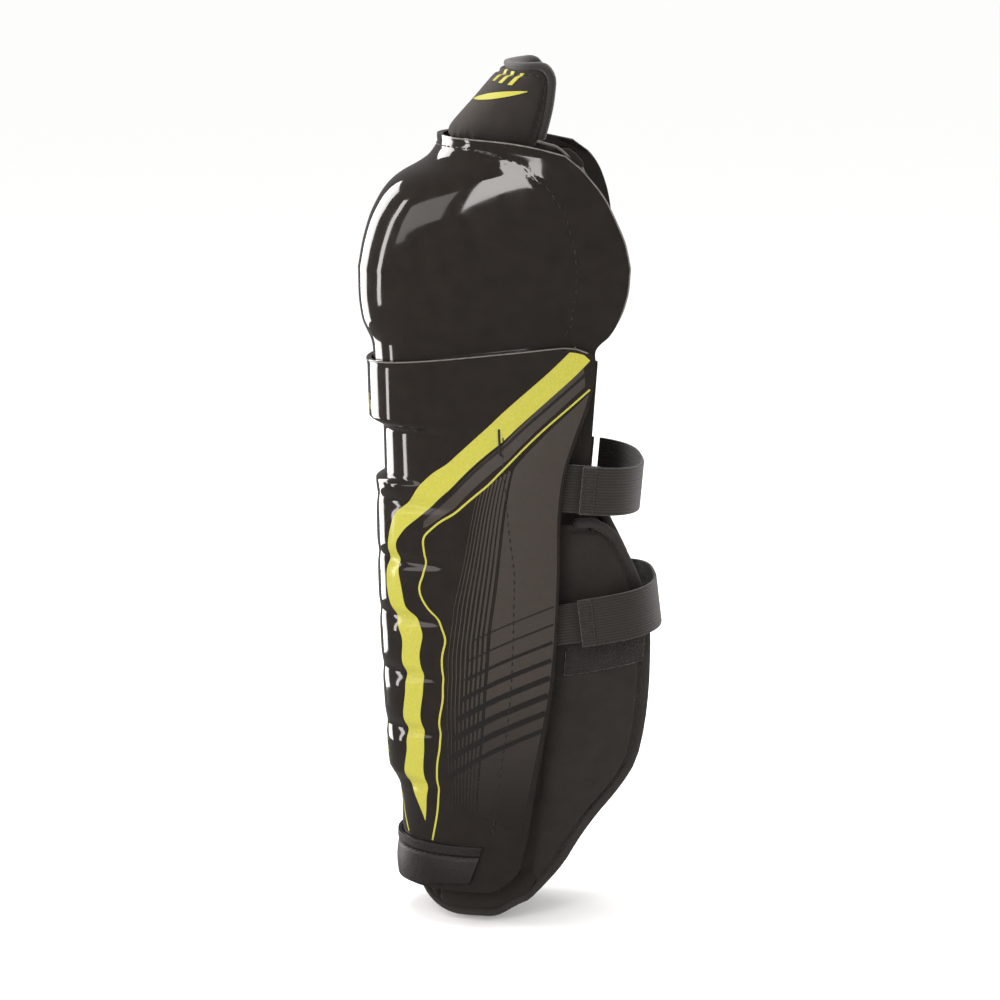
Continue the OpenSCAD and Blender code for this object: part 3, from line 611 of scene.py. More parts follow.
def thread_row(bm, points, normals, length, pitch, radius, lift=0.1):
    d = np.concatenate([[0], np.cumsum(np.linalg.norm(np.diff(points, axis=0), axis=1))])
    count = max(int((d[-1] - length) // pitch), 1)
    start = (d[-1] - (count - 1) * pitch) / 2
    for k in range(count):
        middle, n, a, b = (np.array([np.interp(start + k * pitch + step, d, data[:, i]) for i in range(3)])
                           for data, step in ((points, 0), (normals, 0), (points, -length / 2), (points, length / 2)))
        t = Vector(b - a).normalized()
        up = Vector(n).normalized()
        side = up.cross(t).normalized()
        turn = Matrix((t, side, up)).transposed().to_4x4()
        at = Matrix.Translation(Vector((middle + lift * np.array(up)) * MM))
        size = Matrix.Diagonal((length / 2 * MM, radius * MM, radius * 0.8 * MM, 1))
        bmesh.ops.create_uvsphere(bm, u_segments=8, v_segments=6, radius=1, matrix=at @ turn @ size)
    return bm


# ---------------------------------------------------------------- materials

def colours():
    return bpy.context.scene.guard_colours


def sizes():
    return bpy.context.scene.guard_sizes


MIDDLE = {"From Min": 0.3, "From Max": 0.7}        # where a noise has most of its values
WHOLE = {"From Min": 0.0, "From Max": 1.0}


def wire(tree, made, inputs):
    """Gives a node's inputs, by name or number, a value or another node's output."""
    for key, value in inputs.items():
        if isinstance(value, bpy.types.NodeSocket):
            tree.links.new(value, made.inputs[key])
        else:
            made.inputs[key].default_value = value


def add(tree, kind, inputs=None, output=0, **settings):
    """Adds a node with its settings and links, and returns one of its outputs."""
    made = tree.nodes.new("ShaderNode" + kind)
    for key, value in settings.items():
        setattr(made, key, value)
    wire(tree, made, inputs or {})
    return made.outputs[output]


def start(name, **shader_inputs):
    """New material with its shader; returns the material, its tree and the shader."""
    made = bpy.data.materials.new(name)
    made.use_nodes = True
    shader = made.node_tree.nodes["Principled BSDF"]
    wire(made.node_tree, shader, {key.replace("_", " "): value for key, value in shader_inputs.items()})
    return made, made.node_tree, shader


def per(millimetres):
    """Scale of a texture whose lumps are about that many millimetres across."""
    return 1 / (millimetres * MM)


def shade(colour, factor):
    return tuple(c * factor for c in tuple(colour)[:3]) + (1.0,)


@functools.lru_cache(maxsize=None)
def moulded_polyethylene():
    """Injection moulded polyethylene: smooth, deep gloss with a faint orange peel and fine rubs."""
    made, tree, shader = start("Moulded polyethylene", IOR=1.52, Coat_Weight=0.35, Coat_Roughness=0.03)
    at = add(tree, "TexCoord", output="Object")
    base = colours().cap
    rubs = add(tree, "TexNoise", {"Vector": at, "Scale": per(9), "Detail": 6.0})
    fine = add(tree, "TexNoise", {"Vector": at, "Scale": per(0.8), "Detail": 2.0})
    # Peel of about 9 mm, which makes long reflections waver as on real mouldings
    peel = add(tree, "TexNoise", {"Vector": at, "Scale": per(9), "Detail": 1.0})
    wear_and_highlight_mix = add(tree, "MapRange", {"Value": rubs, **MIDDLE, "To Min": 0.0, "To Max": 1.0})
    dull = add(tree, "MapRange", {"Value": rubs, **MIDDLE, "To Min": 0.045, "To Max": 0.1})
    dust = add(tree, "MapRange", {"Value": fine, **MIDDLE, "To Min": 0.0, "To Max": 0.02})
    wire(tree, shader, {
        "Base Color": add(tree, "Mix", {0: wear_and_highlight_mix, 6: base, 7: shade(base, 1.35)}, 2, data_type="RGBA"),
        "Roughness": add(tree, "Math", {0: dull, 1: dust}, operation="ADD"),
        "Normal": add(tree, "Bump", {"Height": peel, "Strength": 0.4, "Distance": 0.05 * MM})})
    return made


@functools.lru_cache(maxsize=None)
def painted_edge_highlight():
    """Pale satin line painted along the moulding's edges as a highlight, broken every few millimetres."""
    made, tree, shader = start("Trimmed polyethylene", IOR=1.52)
    at = add(tree, "TexCoord", output="Object")
    base = colours().cut
    highlight_breaks = add(tree, "TexNoise", {"Vector": at, "Scale": per(5), "Detail": 3.0})
    scrape = add(tree, "TexNoise", {"Vector": at, "Scale": per(1), "Detail": 3.0})
    # Painted highlight: noise breaks up the pale line that stands for light caught on the edge
    wear_and_highlight_mix = add(tree, "MapRange", {"Value": highlight_breaks, **MIDDLE, "To Min": 0.0, "To Max": 1.0})
    wire(tree, shader, {
        "Base Color": add(tree, "Mix", {0: wear_and_highlight_mix, 6: shade(base, 0.55), 7: base}, 2, data_type="RGBA"),
        "Roughness": add(tree, "MapRange", {"Value": highlight_breaks, **MIDDLE, "To Min": 0.25, "To Max": 0.45}),
        "Normal": add(tree, "Bump", {"Height": scrape, "Strength": 0.3, "Distance": 0.05 * MM})})
    return made


@functools.lru_cache(maxsize=None)
def pad_print(name, colour_of, roughness=0.3, fade=False):
    """Pad-printed ink: a thin even film, a little less glossy than the plastic, with tiny voids."""
    made, tree, shader = start(name, IOR=1.48, Coat_Weight=0.3, Coat_Roughness=0.12)
    at = add(tree, "TexCoord", output="Object")
    base = getattr(colours(), colour_of)
    specks = add(tree, "TexNoise", {"Vector": at, "Scale": per(1.1), "Detail": 4.0})
    rubs = add(tree, "TexNoise", {"Vector": at, "Scale": per(6), "Detail": 4.0})
    voids = add(tree, "MapRange", {"Value": specks, **MIDDLE, "To Min": 0.0, "To Max": 1.0})
    ink = add(tree, "Mix", {0: voids, 6: base, 7: shade(base, 0.86)}, 2, data_type="RGBA")
    if fade:
        # The panel darkens towards the ankle, between 130 and 60 mm up
        height = add(tree, "SeparateXYZ", {0: at}, "Z")
        light = add(tree, "MapRange", {"Value": height, "From Min": 0.06, "From Max": 0.13, "To Min": 0.0,
                                       "To Max": 1.0})
        ink = add(tree, "Mix", {0: light, 6: shade(colours().cap, 1.1), 7: ink}, 2, data_type="RGBA")
    wire(tree, shader, {
        "Base Color": ink,
        "Roughness": add(tree, "MapRange", {"Value": rubs, **MIDDLE, "To Min": roughness - 0.04,
                                            "To Max": roughness + 0.06}),
        "Normal": add(tree, "Bump", {"Height": specks, "Strength": 0.15, "Distance": 0.03 * MM})})
    return made


@functools.lru_cache(maxsize=None)
def brushed_knit(name="Brushed knit", colour_of="pad"):
    """Brushed polyester knit over foam: matt, with a short nap that lightens at a slant."""
    made, tree, shader = start(name, IOR=1.45, Sheen_Weight=0.35, Sheen_Roughness=0.45,
                               Sheen_Tint=linear("#8C8580"), Specular_IOR_Level=0.25)
    at = add(tree, "TexCoord", output="Object")
    base = getattr(colours(), colour_of)
    nap = add(tree, "TexNoise", {"Vector": at, "Scale": per(0.5), "Detail": 5.0})
    cloud = add(tree, "TexNoise", {"Vector": at, "Scale": per(14), "Detail": 4.0})
    cells = add(tree, "TexVoronoi", {"Vector": at, "Scale": per(0.9)}, "Distance")
    short = add(tree, "MapRange", {"Value": nap, **MIDDLE, "To Min": 0.0, "To Max": 0.7})
    wide = add(tree, "MapRange", {"Value": cloud, **MIDDLE, "To Min": 0.0, "To Max": 0.3})
    tone = add(tree, "Math", {0: short, 1: wide}, operation="ADD")
    rough = add(tree, "Math", {0: nap, 1: cells}, operation="ADD")
    wire(tree, shader, {
        "Base Color": add(tree, "Mix", {0: tone, 6: shade(base, 0.6), 7: shade(base, 1.5)}, 2, data_type="RGBA"),
        "Roughness": add(tree, "MapRange", {"Value": nap, **MIDDLE, "To Min": 0.78, "To Max": 0.95}),
        "Normal": add(tree, "Bump", {"Height": rough, "Strength": 0.55, "Distance": 0.18 * MM})})
    return made


@functools.lru_cache(maxsize=None)
def spacer_knit():
    """Spacer knit of the liner: a matt face with small holes every 2.4 mm."""
    made, tree, shader = start("Spacer knit", IOR=1.45, Sheen_Weight=0.25, Sheen_Roughness=0.5,
                               Specular_IOR_Level=0.2)
    at = add(tree, "TexCoord", output="Object")
    base = colours().liner
    cells = add(tree, "TexVoronoi", {"Vector": at, "Scale": per(2.4), "Randomness": 0.25}, "Distance")
    nap = add(tree, "TexNoise", {"Vector": at, "Scale": per(0.45), "Detail": 4.0})
    holes = add(tree, "MapRange", {"Value": cells, "From Min": 0.12, "From Max": 0.4, "To Min": 0.0, "To Max": 1.0})
    uneven = add(tree, "MapRange", {"Value": nap, **MIDDLE, "To Min": 0.6, "To Max": 1.1})
    tone = add(tree, "Math", {0: holes, 1: uneven}, operation="MULTIPLY")
    rough = add(tree, "Math", {0: holes, 1: nap}, operation="ADD")
    wire(tree, shader, {
        "Base Color": add(tree, "Mix", {0: tone, 6: shade(base, 0.35), 7: shade(base, 1.35)}, 2, data_type="RGBA"),
        "Roughness": add(tree, "MapRange", {"Value": nap, **MIDDLE, "To Min": 0.8, "To Max": 0.95}),
        "Normal": add(tree, "Bump", {"Height": rough, "Strength": 0.5, "Distance": 0.25 * MM})})
    return made


@functools.lru_cache(maxsize=None)
def woven(name, colour_of, rib, pick, direction="Y", depth=0.18):
    """Narrow woven or knitted tape: ribs along its length, crossed by finer picks."""
    made, tree, shader = start(name, IOR=1.46, Sheen_Weight=0.3, Sheen_Roughness=0.4, Specular_IOR_Level=0.3)
    on_cloth = add(tree, "TexCoord", output="UV")
    base = getattr(colours(), colour_of)
    other = "X" if direction == "Y" else "Y"
    along = add(tree, "TexWave", {"Vector": on_cloth, "Scale": math.pi / 10 * per(rib)}, "Fac",
                bands_direction=direction)
    picks = add(tree, "TexWave", {"Vector": on_cloth, "Scale": math.pi / 10 * per(pick)}, "Fac",
                bands_direction=other)
    fuzz = add(tree, "TexNoise", {"Vector": add(tree, "TexCoord", output="Object"), "Scale": per(0.4), "Detail": 4.0})
    high = add(tree, "MapRange", {"Value": along, **WHOLE, "To Min": 0.0, "To Max": 0.55})
    low = add(tree, "MapRange", {"Value": picks, **WHOLE, "To Min": 0.0, "To Max": 0.2})
    loose = add(tree, "MapRange", {"Value": fuzz, **MIDDLE, "To Min": 0.0, "To Max": 0.35})
    weave = add(tree, "Math", {0: high, 1: low}, operation="ADD")
    tone = add(tree, "Math", {0: weave, 1: loose}, operation="ADD")
    raised = add(tree, "MapRange", {"Value": picks, **WHOLE, "To Min": 0.0, "To Max": 0.4})
    relief_of = add(tree, "Math", {0: along, 1: raised}, operation="ADD")
    rough = add(tree, "Math", {0: relief_of, 1: fuzz}, operation="ADD")
    wire(tree, shader, {
        "Base Color": add(tree, "Mix", {0: tone, 6: shade(base, 0.5), 7: shade(base, 1.5)}, 2, data_type="RGBA"),
        "Roughness": add(tree, "MapRange", {"Value": fuzz, **MIDDLE, "To Min": 0.62, "To Max": 0.85}),
        "Normal": add(tree, "Bump", {"Height": rough, "Strength": 0.6, "Distance": depth * MM})})
    return made


@functools.lru_cache(maxsize=None)
def hook_pile():
    """Hook and loop pile: tangled loops about a millimetre across that catch the light in specks."""
    made, tree, shader = start("Hook and loop pile", IOR=1.5, Sheen_Weight=0.6, Sheen_Roughness=0.35,
                               Specular_IOR_Level=0.3, Roughness=0.9)
    at = add(tree, "TexCoord", output="Object")
    base = colours().pile
    loops = add(tree, "TexVoronoi", {"Vector": at, "Scale": per(1.1)}, "Distance")
    tangle = add(tree, "TexNoise", {"Vector": at, "Scale": per(0.7), "Detail": 6.0})
    patches = add(tree, "TexNoise", {"Vector": at, "Scale": per(8), "Detail": 3.0})
    near_by = add(tree, "MapRange", {"Value": tangle, **MIDDLE, "To Min": 0.0, "To Max": 0.8})
    far_off = add(tree, "MapRange", {"Value": patches, **MIDDLE, "To Min": 0.0, "To Max": 0.3})
    tone = add(tree, "Math", {0: near_by, 1: far_off}, operation="ADD")
    rough = add(tree, "Math", {0: tangle, 1: loops}, operation="MULTIPLY")
    wire(tree, shader, {
        "Base Color": add(tree, "Mix", {0: tone, 6: shade(base, 0.45), 7: shade(base, 2.0)}, 2, data_type="RGBA"),
        "Normal": add(tree, "Bump", {"Height": rough, "Strength": 0.9, "Distance": 0.9 * MM})})
    return made


@functools.lru_cache(maxsize=None)
def coated_fabric():
    """Polyurethane coated fabric: an embossed leather grain of about a millimetre, half gloss."""
    made, tree, shader = start("Coated fabric", IOR=1.47, Coat_Weight=0.1, Coat_Roughness=0.3)
    at = add(tree, "TexCoord", output="Object")
    base = colours().leather
    bent = add(tree, "VectorMath", {0: at, 1: (1, 1, 0.8)}, operation="MULTIPLY")
    grain = add(tree, "TexVoronoi", {"Vector": bent, "Scale": per(1.0)}, "Distance", feature="DISTANCE_TO_EDGE")
    swell = add(tree, "TexNoise", {"Vector": at, "Scale": per(4), "Detail": 3.0})
    crease = add(tree, "MapRange", {"Value": grain, "From Min": 0.0, "From Max": 0.22, "To Min": 0.0, "To Max": 1.0})
    rough = add(tree, "Math", {0: crease, 1: swell}, operation="ADD")
    wire(tree, shader, {
        "Base Color": add(tree, "Mix", {0: crease, 6: shade(base, 0.55), 7: shade(base, 1.15)}, 2, data_type="RGBA"),
        "Roughness": add(tree, "MapRange", {"Value": crease, **WHOLE, "To Min": 0.66, "To Max": 0.48}),
        "Normal": add(tree, "Bump", {"Height": rough, "Strength": 0.5, "Distance": 0.2 * MM})})
    return made


@functools.lru_cache(maxsize=None)
def closed_cell_foam():
    """Closed-cell EVA foam, cut from sheet: dull, with fine pores on its cut faces."""
    made, tree, shader = start("Closed-cell foam", IOR=1.45, Roughness=0.85)
    at = add(tree, "TexCoord", output="Object")
    base = colours().foam
    pores = add(tree, "TexVoronoi", {"Vector": at, "Scale": per(1.3)}, "Distance")
    open_at = add(tree, "MapRange", {"Value": pores, "From Min": 0.0, "From Max": 0.6, "To Min": 0.0, "To Max": 1.0})
    wire(tree, shader, {
        "Base Color": add(tree, "Mix", {0: open_at, 6: shade(base, 0.7), 7: shade(base, 1.1)}, 2, data_type="RGBA"),
        "Normal": add(tree, "Bump", {"Height": pores, "Strength": 0.5, "Distance": 0.25 * MM})})
    return made


@functools.lru_cache(maxsize=None)
def polyester_thread():
    """Twisted polyester thread: three plies with a slight silky gloss."""
    made, tree, shader = start("Polyester thread", IOR=1.5, Sheen_Weight=0.2)
    at = add(tree, "TexCoord", output="Object")
    base = colours().thread
    # The real twist is 0.3 mm, drawn at 0.6 mm so that it shows
    twist = add(tree, "TexWave", {"Vector": at, "Scale": math.pi / 10 * per(0.6)}, "Fac",
                bands_direction="DIAGONAL")
    wire(tree, shader, {
        "Base Color": add(tree, "Mix", {0: twist, 6: shade(base, 0.6), 7: shade(base, 1.7)}, 2, data_type="RGBA"),
        "Roughness": add(tree, "MapRange", {"Value": twist, **WHOLE, "To Min": 0.4, "To Max": 0.6}),
        "Normal": add(tree, "Bump", {"Height": twist, "Strength": 0.5, "Distance": 0.1 * MM})})
    return made


@functools.lru_cache(maxsize=None)
def silicone_transfer():
    """Silicone transfer pressed on knit: an even, satin film that shows a trace of the nap below."""
    made, tree, shader = start("Silicone transfer", IOR=1.43, Roughness=0.45)
    at = add(tree, "TexCoord", output="Object")
    base = colours().stripe
    nap = add(tree, "TexNoise", {"Vector": at, "Scale": per(0.6), "Detail": 3.0})
    trace = add(tree, "MapRange", {"Value": nap, **MIDDLE, "To Min": 0.0, "To Max": 1.0})
    wire(tree, shader, {
        "Base Color": add(tree, "Mix", {0: trace, 6: base, 7: shade(base, 0.85)}, 2, data_type="RGBA"),
        "Normal": add(tree, "Bump", {"Height": nap, "Strength": 0.3, "Distance": 0.06 * MM})})
    return made


def paper_sweep():
    """Matt background paper: white, with the faintest mottle."""
    made, tree, shader = start("Background paper", Roughness=1.0, Specular_IOR_Level=0.0)
    at = add(tree, "TexCoord", output="Object")
    mottle = add(tree, "TexNoise", {"Vector": at, "Scale": per(60), "Detail": 2.0})
    wire(tree, shader, {"Base Color": add(tree, "Mix", {0: mottle, 6: linear("#FCFCFB"), 7: linear("#FEFEFD")}, 2,
                                          data_type="RGBA")})
    return made


# ---------------------------------------------------------------- caps and prints

def crowd(q):
    v = 2 * q - 1
    return 0.5 + (1.5 * v - 0.5 * v ** 3) / 2


def layer(surface, near, far, s_low, s_high, z_low, z_high, columns, rows, skin=None):
    """Layer that follows a surface, between two depths inwards from it."""
    def face(depth, raised):
        def at(a, b):
            s = mix(s_low(b), s_high(b), crowd(a))
            z = mix(z_low(s), z_high(s), b)
            out = skin(s, z, a, b) if raised and skin else 0.0
            return offset(surface, s, z, out - depth + 0 * s)
        return at
    return slab(columns, rows, face(near, True), face(far, False))


def fixed(value):
    return lambda q: value + 0 * q


def distance_to(surface, places, count=160):
    """Function giving the distance in mm from (s, z) on a surface to a line of places on it."""
    line = surface_path(surface, places, count)[0]
    return lambda s, z: near(surface(s, z), line)


def mirrored(half):
    """A line from the outer side over the front to the inner side."""
    return half + [(-s, z) for s, z in half[-2::-1]]


KNEE_SEAM = mirrored([(0.905, 312), (0.889, 328), (0.885, 352), (0.883, 377), (0.857, 390),
                      (0.766, 402), (0.62, 407), (0.4, 409), (0.0, 409)])
SHIN_SEAM = [(0.76, 266), (0.81, 230), (0.845, 190), (0.845, 110), (0.835, 68), (0.828, 46)]


def knee_zlo(s):
    return shin_top(s) - SEAM_TUCK - CORNER_R * 0.3 * corner(s, 0.9)


def knee_zhi(s):
    return Z_RIM - RIM_DROP * np.abs(s) ** 6


def shin_zlo(s):
    return Z_ANKLE + CORNER_R * corner(s, 0.86)


def shin_zhi(s):
    return shin_top(s) - CORNER_R * 0.6 * corner(s, 0.9)


class KneeCap(bpy.types.Operator):
    """Moulds the knee cap, with its turned rim and the valley that it is sewn in"""
    bl_idname = "shin_guard.knee_cap"
    bl_label = "Knee cap"

    def execute(self, context):
        flare, valley = sizes().rim_flare / MM, sizes().stitch_valley / MM
        far = distance_to(knee_outer, KNEE_SEAM)

        def skin(s, z, a, b):
            lip = flare * smooth(1 - (knee_zhi(s) - z) / 4.5)
            side = 0.5 * smooth((np.abs(s) - 0.965) / 0.02)
            return lip + side - groove(far(s, z), 1.6, valley)
        bm = layer(knee_outer, 0, SHELL_T, fixed(-1), fixed(1), knee_zlo, knee_zhi, 130, 96, skin)
        piece("knee_cap", bm, moulded_polyethylene(), "guard", ["knee_cap_shell"], bevel=1.05,
              segments=4)
        for side, name in ((1, "outer"), (-1, "inner")):
            up = [(side * 0.999, z) for z in np.linspace(322, 400, 12)]
            over = [(side * q, float(knee_zhi(np.float64(q))) - 0.6) for q in np.linspace(0.985, 0.3, 20)]
            # Pale line painted along the ear's edges as a highlight
            painted_highlight_line("knee_cap_" + name + "_edge", lambda s, z: offset(knee_outer, s, z, skin(s, z, 0, 0)),
                     up + over, 160)
        return {"FINISHED"}


class ShinCap(bpy.types.Operator):
    """Moulds the shin cap, with its top band, its ribs and its sewn side edges"""
    bl_idname = "shin_guard.shin_cap"
    bl_label = "Shin cap"

    def execute(self, context):
        seams = [distance_to(shin_outer, [(side * s, z) for s, z in SHIN_SEAM]) for side in (-1, 1)]

        def skin(s, z, a, b):
            sewn = groove(np.minimum(seams[0](s, z), seams[1](s, z)), 1.5, 0.5)
            edge = 0.5 * smooth((a - 0.985) / 0.012) + 0.5 * smooth((0.015 - a) / 0.012)
            top = 0.5 * smooth(1 - (shin_zhi(s) - z) / 4)
            return edge + top - sewn
        bm = layer(shin_outer, 0, SHELL_T, fixed(-1), fixed(1), shin_zlo, shin_zhi, 150, 260, skin)
        piece("shin_cap", bm, moulded_polyethylene(), "guard", ["shin_cap_shell"], bevel=1.05,
              segments=4)
        top = [(q, float(shin_zhi(np.float64(abs(q)))) - 0.7) for q in np.linspace(-0.985, 0.985, 60)]
        # Pale line painted along the top edge as a highlight
        painted_highlight_line("shin_cap_top_edge", lambda s, z: offset(shin_outer, s, z, 0.35 + 0 * s), top, 260)
        return {"FINISHED"}


STRIPE_UP = [(0.948, 309), (0.742, 274), (0.705, 267), (0.63, 256), (0.56, 247), (0.486, 241.5), (0.42, 235),
             (0.375, 228), (0.265, 219), (0.22, 208),
             (0.19, 194), (0.185, 178), (0.23, 164), (0.3, 152), (0.285, 140), (0.305, 124), (0.275, 110),
             (0.298, 92), (0.262, 80), (0.26, 72), (0.39, 53)]
STRIPE_DOWN = [(0.985, 302), (0.77, 260), (0.58, 234), (0.43, 219), (0.33, 211), (0.265, 203), (0.27, 192),
               (0.3, 180), (0.32, 169), (0.385, 163), (0.43, 156), (0.4, 144), (0.422, 126), (0.395, 111),
               (0.42, 94), (0.405, 82), (0.42, 71), (0.393, 53)]
LEAN_FIRST = [(0.701, 233), (0.649, 198), (0.597, 171), (0.565, 143), (0.56, 112), (0.573, 84), (0.58, 66)]
LEAN_LAST = [(0.826, 246), (0.81, 221), (0.779, 181), (0.759, 160), (0.747, 128), (0.745, 100), (0.74, 60)]
FINE_LINE = [(0.99, 287), (0.81, 249), (0.74, 237), (0.6, 221), (0.53, 216.5), (0.43, 207), (0.447, 198),
             (0.435, 186), (0.403, 181), (0.42, 175), (0.47, 168), (0.5, 166), (0.56, 154), (0.53, 145),
             (0.538, 121), (0.512, 109), (0.522, 95), (0.5, 86), (0.498, 74), (0.507, 67), (0.46, 43)]


def eased(line, count=400, reach=7):
    """Evenly spaced places along a line, with its bends rounded."""
    fine = resample([(s, z / 150) for s, z in line], count) * (1, 150)
    padded = np.vstack([2 * fine[0] - fine[reach:0:-1], fine, 2 * fine[-1] - fine[-2:-reach - 2:-1]])
    kernel = np.hanning(2 * reach + 3)[1:-1]
    return np.stack([np.convolve(padded[:, k], kernel / kernel.sum(), "valid") for k in (0, 1)], -1)


def painted_highlight_line(name, surface, places, count, closed=False):
    """Paler line painted along the moulding's outer edge as a highlight."""
    path, normals = surface_path(surface, places, count, 0.15, closed=closed)
    piece(name, tube(path, normals, 0.42, 0.42, 8, closed=closed), painted_edge_highlight(), "guard")


def film(bm, up, down, height, columns, rows, side=1):
    """Adds a printed film between two lines of places on the shin cap; it lies height above it."""
    left, right = eased(up), eased(down)

    def face(lift):
        def at(a, b):
            i = np.clip(b * 399, 0, 399)
            p, q = (np.stack([np.interp(i, np.arange(400), line[:, k]) for k in (0, 1)], -1) for line in (left, right))
            s, z = mix(p[:, 0], q[:, 0], a), mix(p[:, 1], q[:, 1], a)
            return offset(shin_outer, side * s, z, lift + 0 * s)
        return at
    ink = sizes().ink / MM
    return join(bm, slab(columns, rows, face(height + ink), face(height - 0.25)))


def widened(line, millimetres):
    """The two edges of a stripe of that width along a line of places."""
    fine = eased(line)
    points = shin_plain(fine[:, 0], fine[:, 1])
    along = unit(np.gradient(points, axis=0))
    out = normal(shin_plain, fine[:, 0], fine[:, 1])
    side = np.cross(along, out) * millimetres / 2
    step_s = np.linalg.norm(shin_plain(fine[:, 0] + 0.01, fine[:, 1]) - shin_plain(fine[:, 0] - 0.01, fine[:, 1]),
                            axis=1) / 0.02
    tangent = unit(shin_plain(fine[:, 0] + 0.01, fine[:, 1]) - shin_plain(fine[:, 0] - 0.01, fine[:, 1]))
    move = np.stack([(side * tangent).sum(1) / step_s, side[:, 2]], -1)
    return [tuple(p) for p in fine - move], [tuple(p) for p in fine + move]


def shifted(line, s, z=0.0):
    return [(p + s, q + z) for p, q in line]


class Prints(bpy.types.Operator):
    """Prints the stripe, the side panel and their fine lines on both sides of the shin cap"""
    bl_idname = "shin_guard.prints"
    bl_label = "Printed graphics"

    def execute(self, context):
        stripe, line, panel, dark = (bmesh.new() for _ in range(4))
        start_line = [(0.965, 299.5), (0.765, 257), (0.58, 231.5), (0.445, 217.5), (0.44, 212.5)]
        low_line = [(0.975, 288.5), (0.8, 250.5), (0.6, 224), (0.5, 216), (0.46, 213)]
        back = [(0.99, 285), (0.99, 262), (0.99, 240), (0.99, 200), (0.99, 160), (0.985, 120), (0.975, 80),
                (0.965, 50)]
        for side in (-1, 1):
            film(stripe, STRIPE_UP, STRIPE_DOWN, 0.06, 10, 300, side)
            film(line, *widened(FINE_LINE, 1.1), 0.06, 2, 300, side)
            film(panel, start_line, low_line, 0.03, 6, 90, side)
            film(panel, [(0.975, 281)] + LEAN_LAST, back, 0.03, 30, 260, side)
            film(dark, *widened(shifted(STRIPE_DOWN[:5], 0.012, -2.2), 1.6), 0.07, 2, 90, side)
            for k in range(9):
                lean = [tuple(mix(np.array(p), np.array(q), k / 9.0)) for p, q in zip(LEAN_FIRST, LEAN_LAST)]
                film(panel, *widened(lean, 0.35 + 0.13 * k), 0.03, 2, 120, side)
            for k, wide in enumerate((0.7, 0.9, 1.7, 2.5, 3.1, 3.3, 3.3, 2.6)):
                height, s = 173.5 - 9.6 * k, 0.68 - 0.016 * k
                bar = [(0.985, height), (0.8, height - 11.5), (s, height - 11.5 - 82 * (0.8 - s) ** 1.1)]
                film(dark, *widened(bar, wide), 0.07, 2, 90, side)
            for k in range(2):
                bar = [(0.975 - 0.006 * k, 101 - 11 * k), (0.83, 92.5 - 8.5 * k), (0.64 + 0.05 * k, 80 - 5.5 * k)]
                film(panel, *widened(bar, 0.45), 0.08, 2, 90, side)
        piece("stripe_print", stripe, pad_print("Yellow pad print", "stripe", 0.22), "guard")
        piece("fine_line_print", line, pad_print("Yellow pad print", "stripe", 0.22), "guard")
        piece("panel_print", panel, pad_print("Grey pad print", "panel", 0.36, True), "guard")
        piece("dark_line_print", dark, pad_print("Black pad print", "ink", 0.3), "guard")
        marks = bmesh.new()
        for k in range(4):
            z = 97 - 6.5 * k
            film(marks, *widened([(-0.05, z - 3), (0.05, z + 3)], 2.4), 0.1, 2, 12)
        film(marks, *widened([(0.065, 63), (0.11, 54), (0.2, 44)], 1.2), 0.1, 2, 30)
        film(marks, *widened([(0.05, 279), (0.05, 268)], 2.2), 0.1, 2, 12)
        film(marks, *widened([(0.1, 276), (0.1, 271)], 1.6), 0.1, 2, 12)
        piece("plain_marks_print", marks, pad_print("Yellow pad print", "stripe", 0.22), "guard")
        return {"FINISHED"}


# ---------------------------------------------------------------- foams, roll, side pads and liner

class Foams(bpy.types.Operator):
    """Cuts the foam under the two caps"""
    bl_idname = "shin_guard.foams"
    bl_label = "Foams"

    def execute(self, context):
        bm = layer(knee_outer, FOAM_OUT, KNEE_FOAM_IN, fixed(-0.58), fixed(0.58), lambda s: shin_top(s) + 7,
                   fixed(Z_RIM - 14), 60, 40)
        piece("knee_foam", bm, closed_cell_foam(), "guard", ["knee_cap_foam"], bevel=1.2)
        bm = layer(shin_plain, FOAM_OUT, SHIN_FOAM_IN, fixed(-0.84), fixed(0.84), fixed(Z_ANKLE + 8),
                   lambda s: shin_top(s) - SEAM_TUCK - 10, 60, 90)
        piece("shin_foam", bm, closed_cell_foam(), "guard", ["shin_cap_foam"], bevel=1.2)
        return {"FINISHED"}


class KneeRoll(bpy.types.Operator):
    """Sews the padded roll around the knee, gathered at its seams"""
    bl_idname = "shin_guard.knee_roll"
    bl_label = "Knee roll"

    def execute(self, context):
        turn = np.linspace(0, 2 * math.pi, 161)
        r = (np.abs(np.cos(turn)) ** 3 + np.abs(np.sin(turn)) ** 3) ** (-1 / 3)
        places = [(0.46 * k * math.cos(t), Z_SEAM + 0.46 * KNEE_H + 0.3 * KNEE_H * k * math.sin(t))
                  for k, t in zip(r, turn)][:-1]
        path, normals = surface_path(knee_outer, places, 241, ROLL_MID, closed=True)
        seam = np.abs((np.arange(241) / 30 + 0.5) % 1 - 0.5) * 30
        size = ROLL_R * (0.99 - 0.13 * np.exp(-(seam / 1.6) ** 2) + 0.01 * np.cos(np.arange(241) * 1.3))
        made = piece("knee_roll", tube(path, normals, size, size, 28, closed=True),
                     brushed_knit("Liner knit", "liner"), "guard", ["knee_roll_pad"])
        return {"FINISHED"}


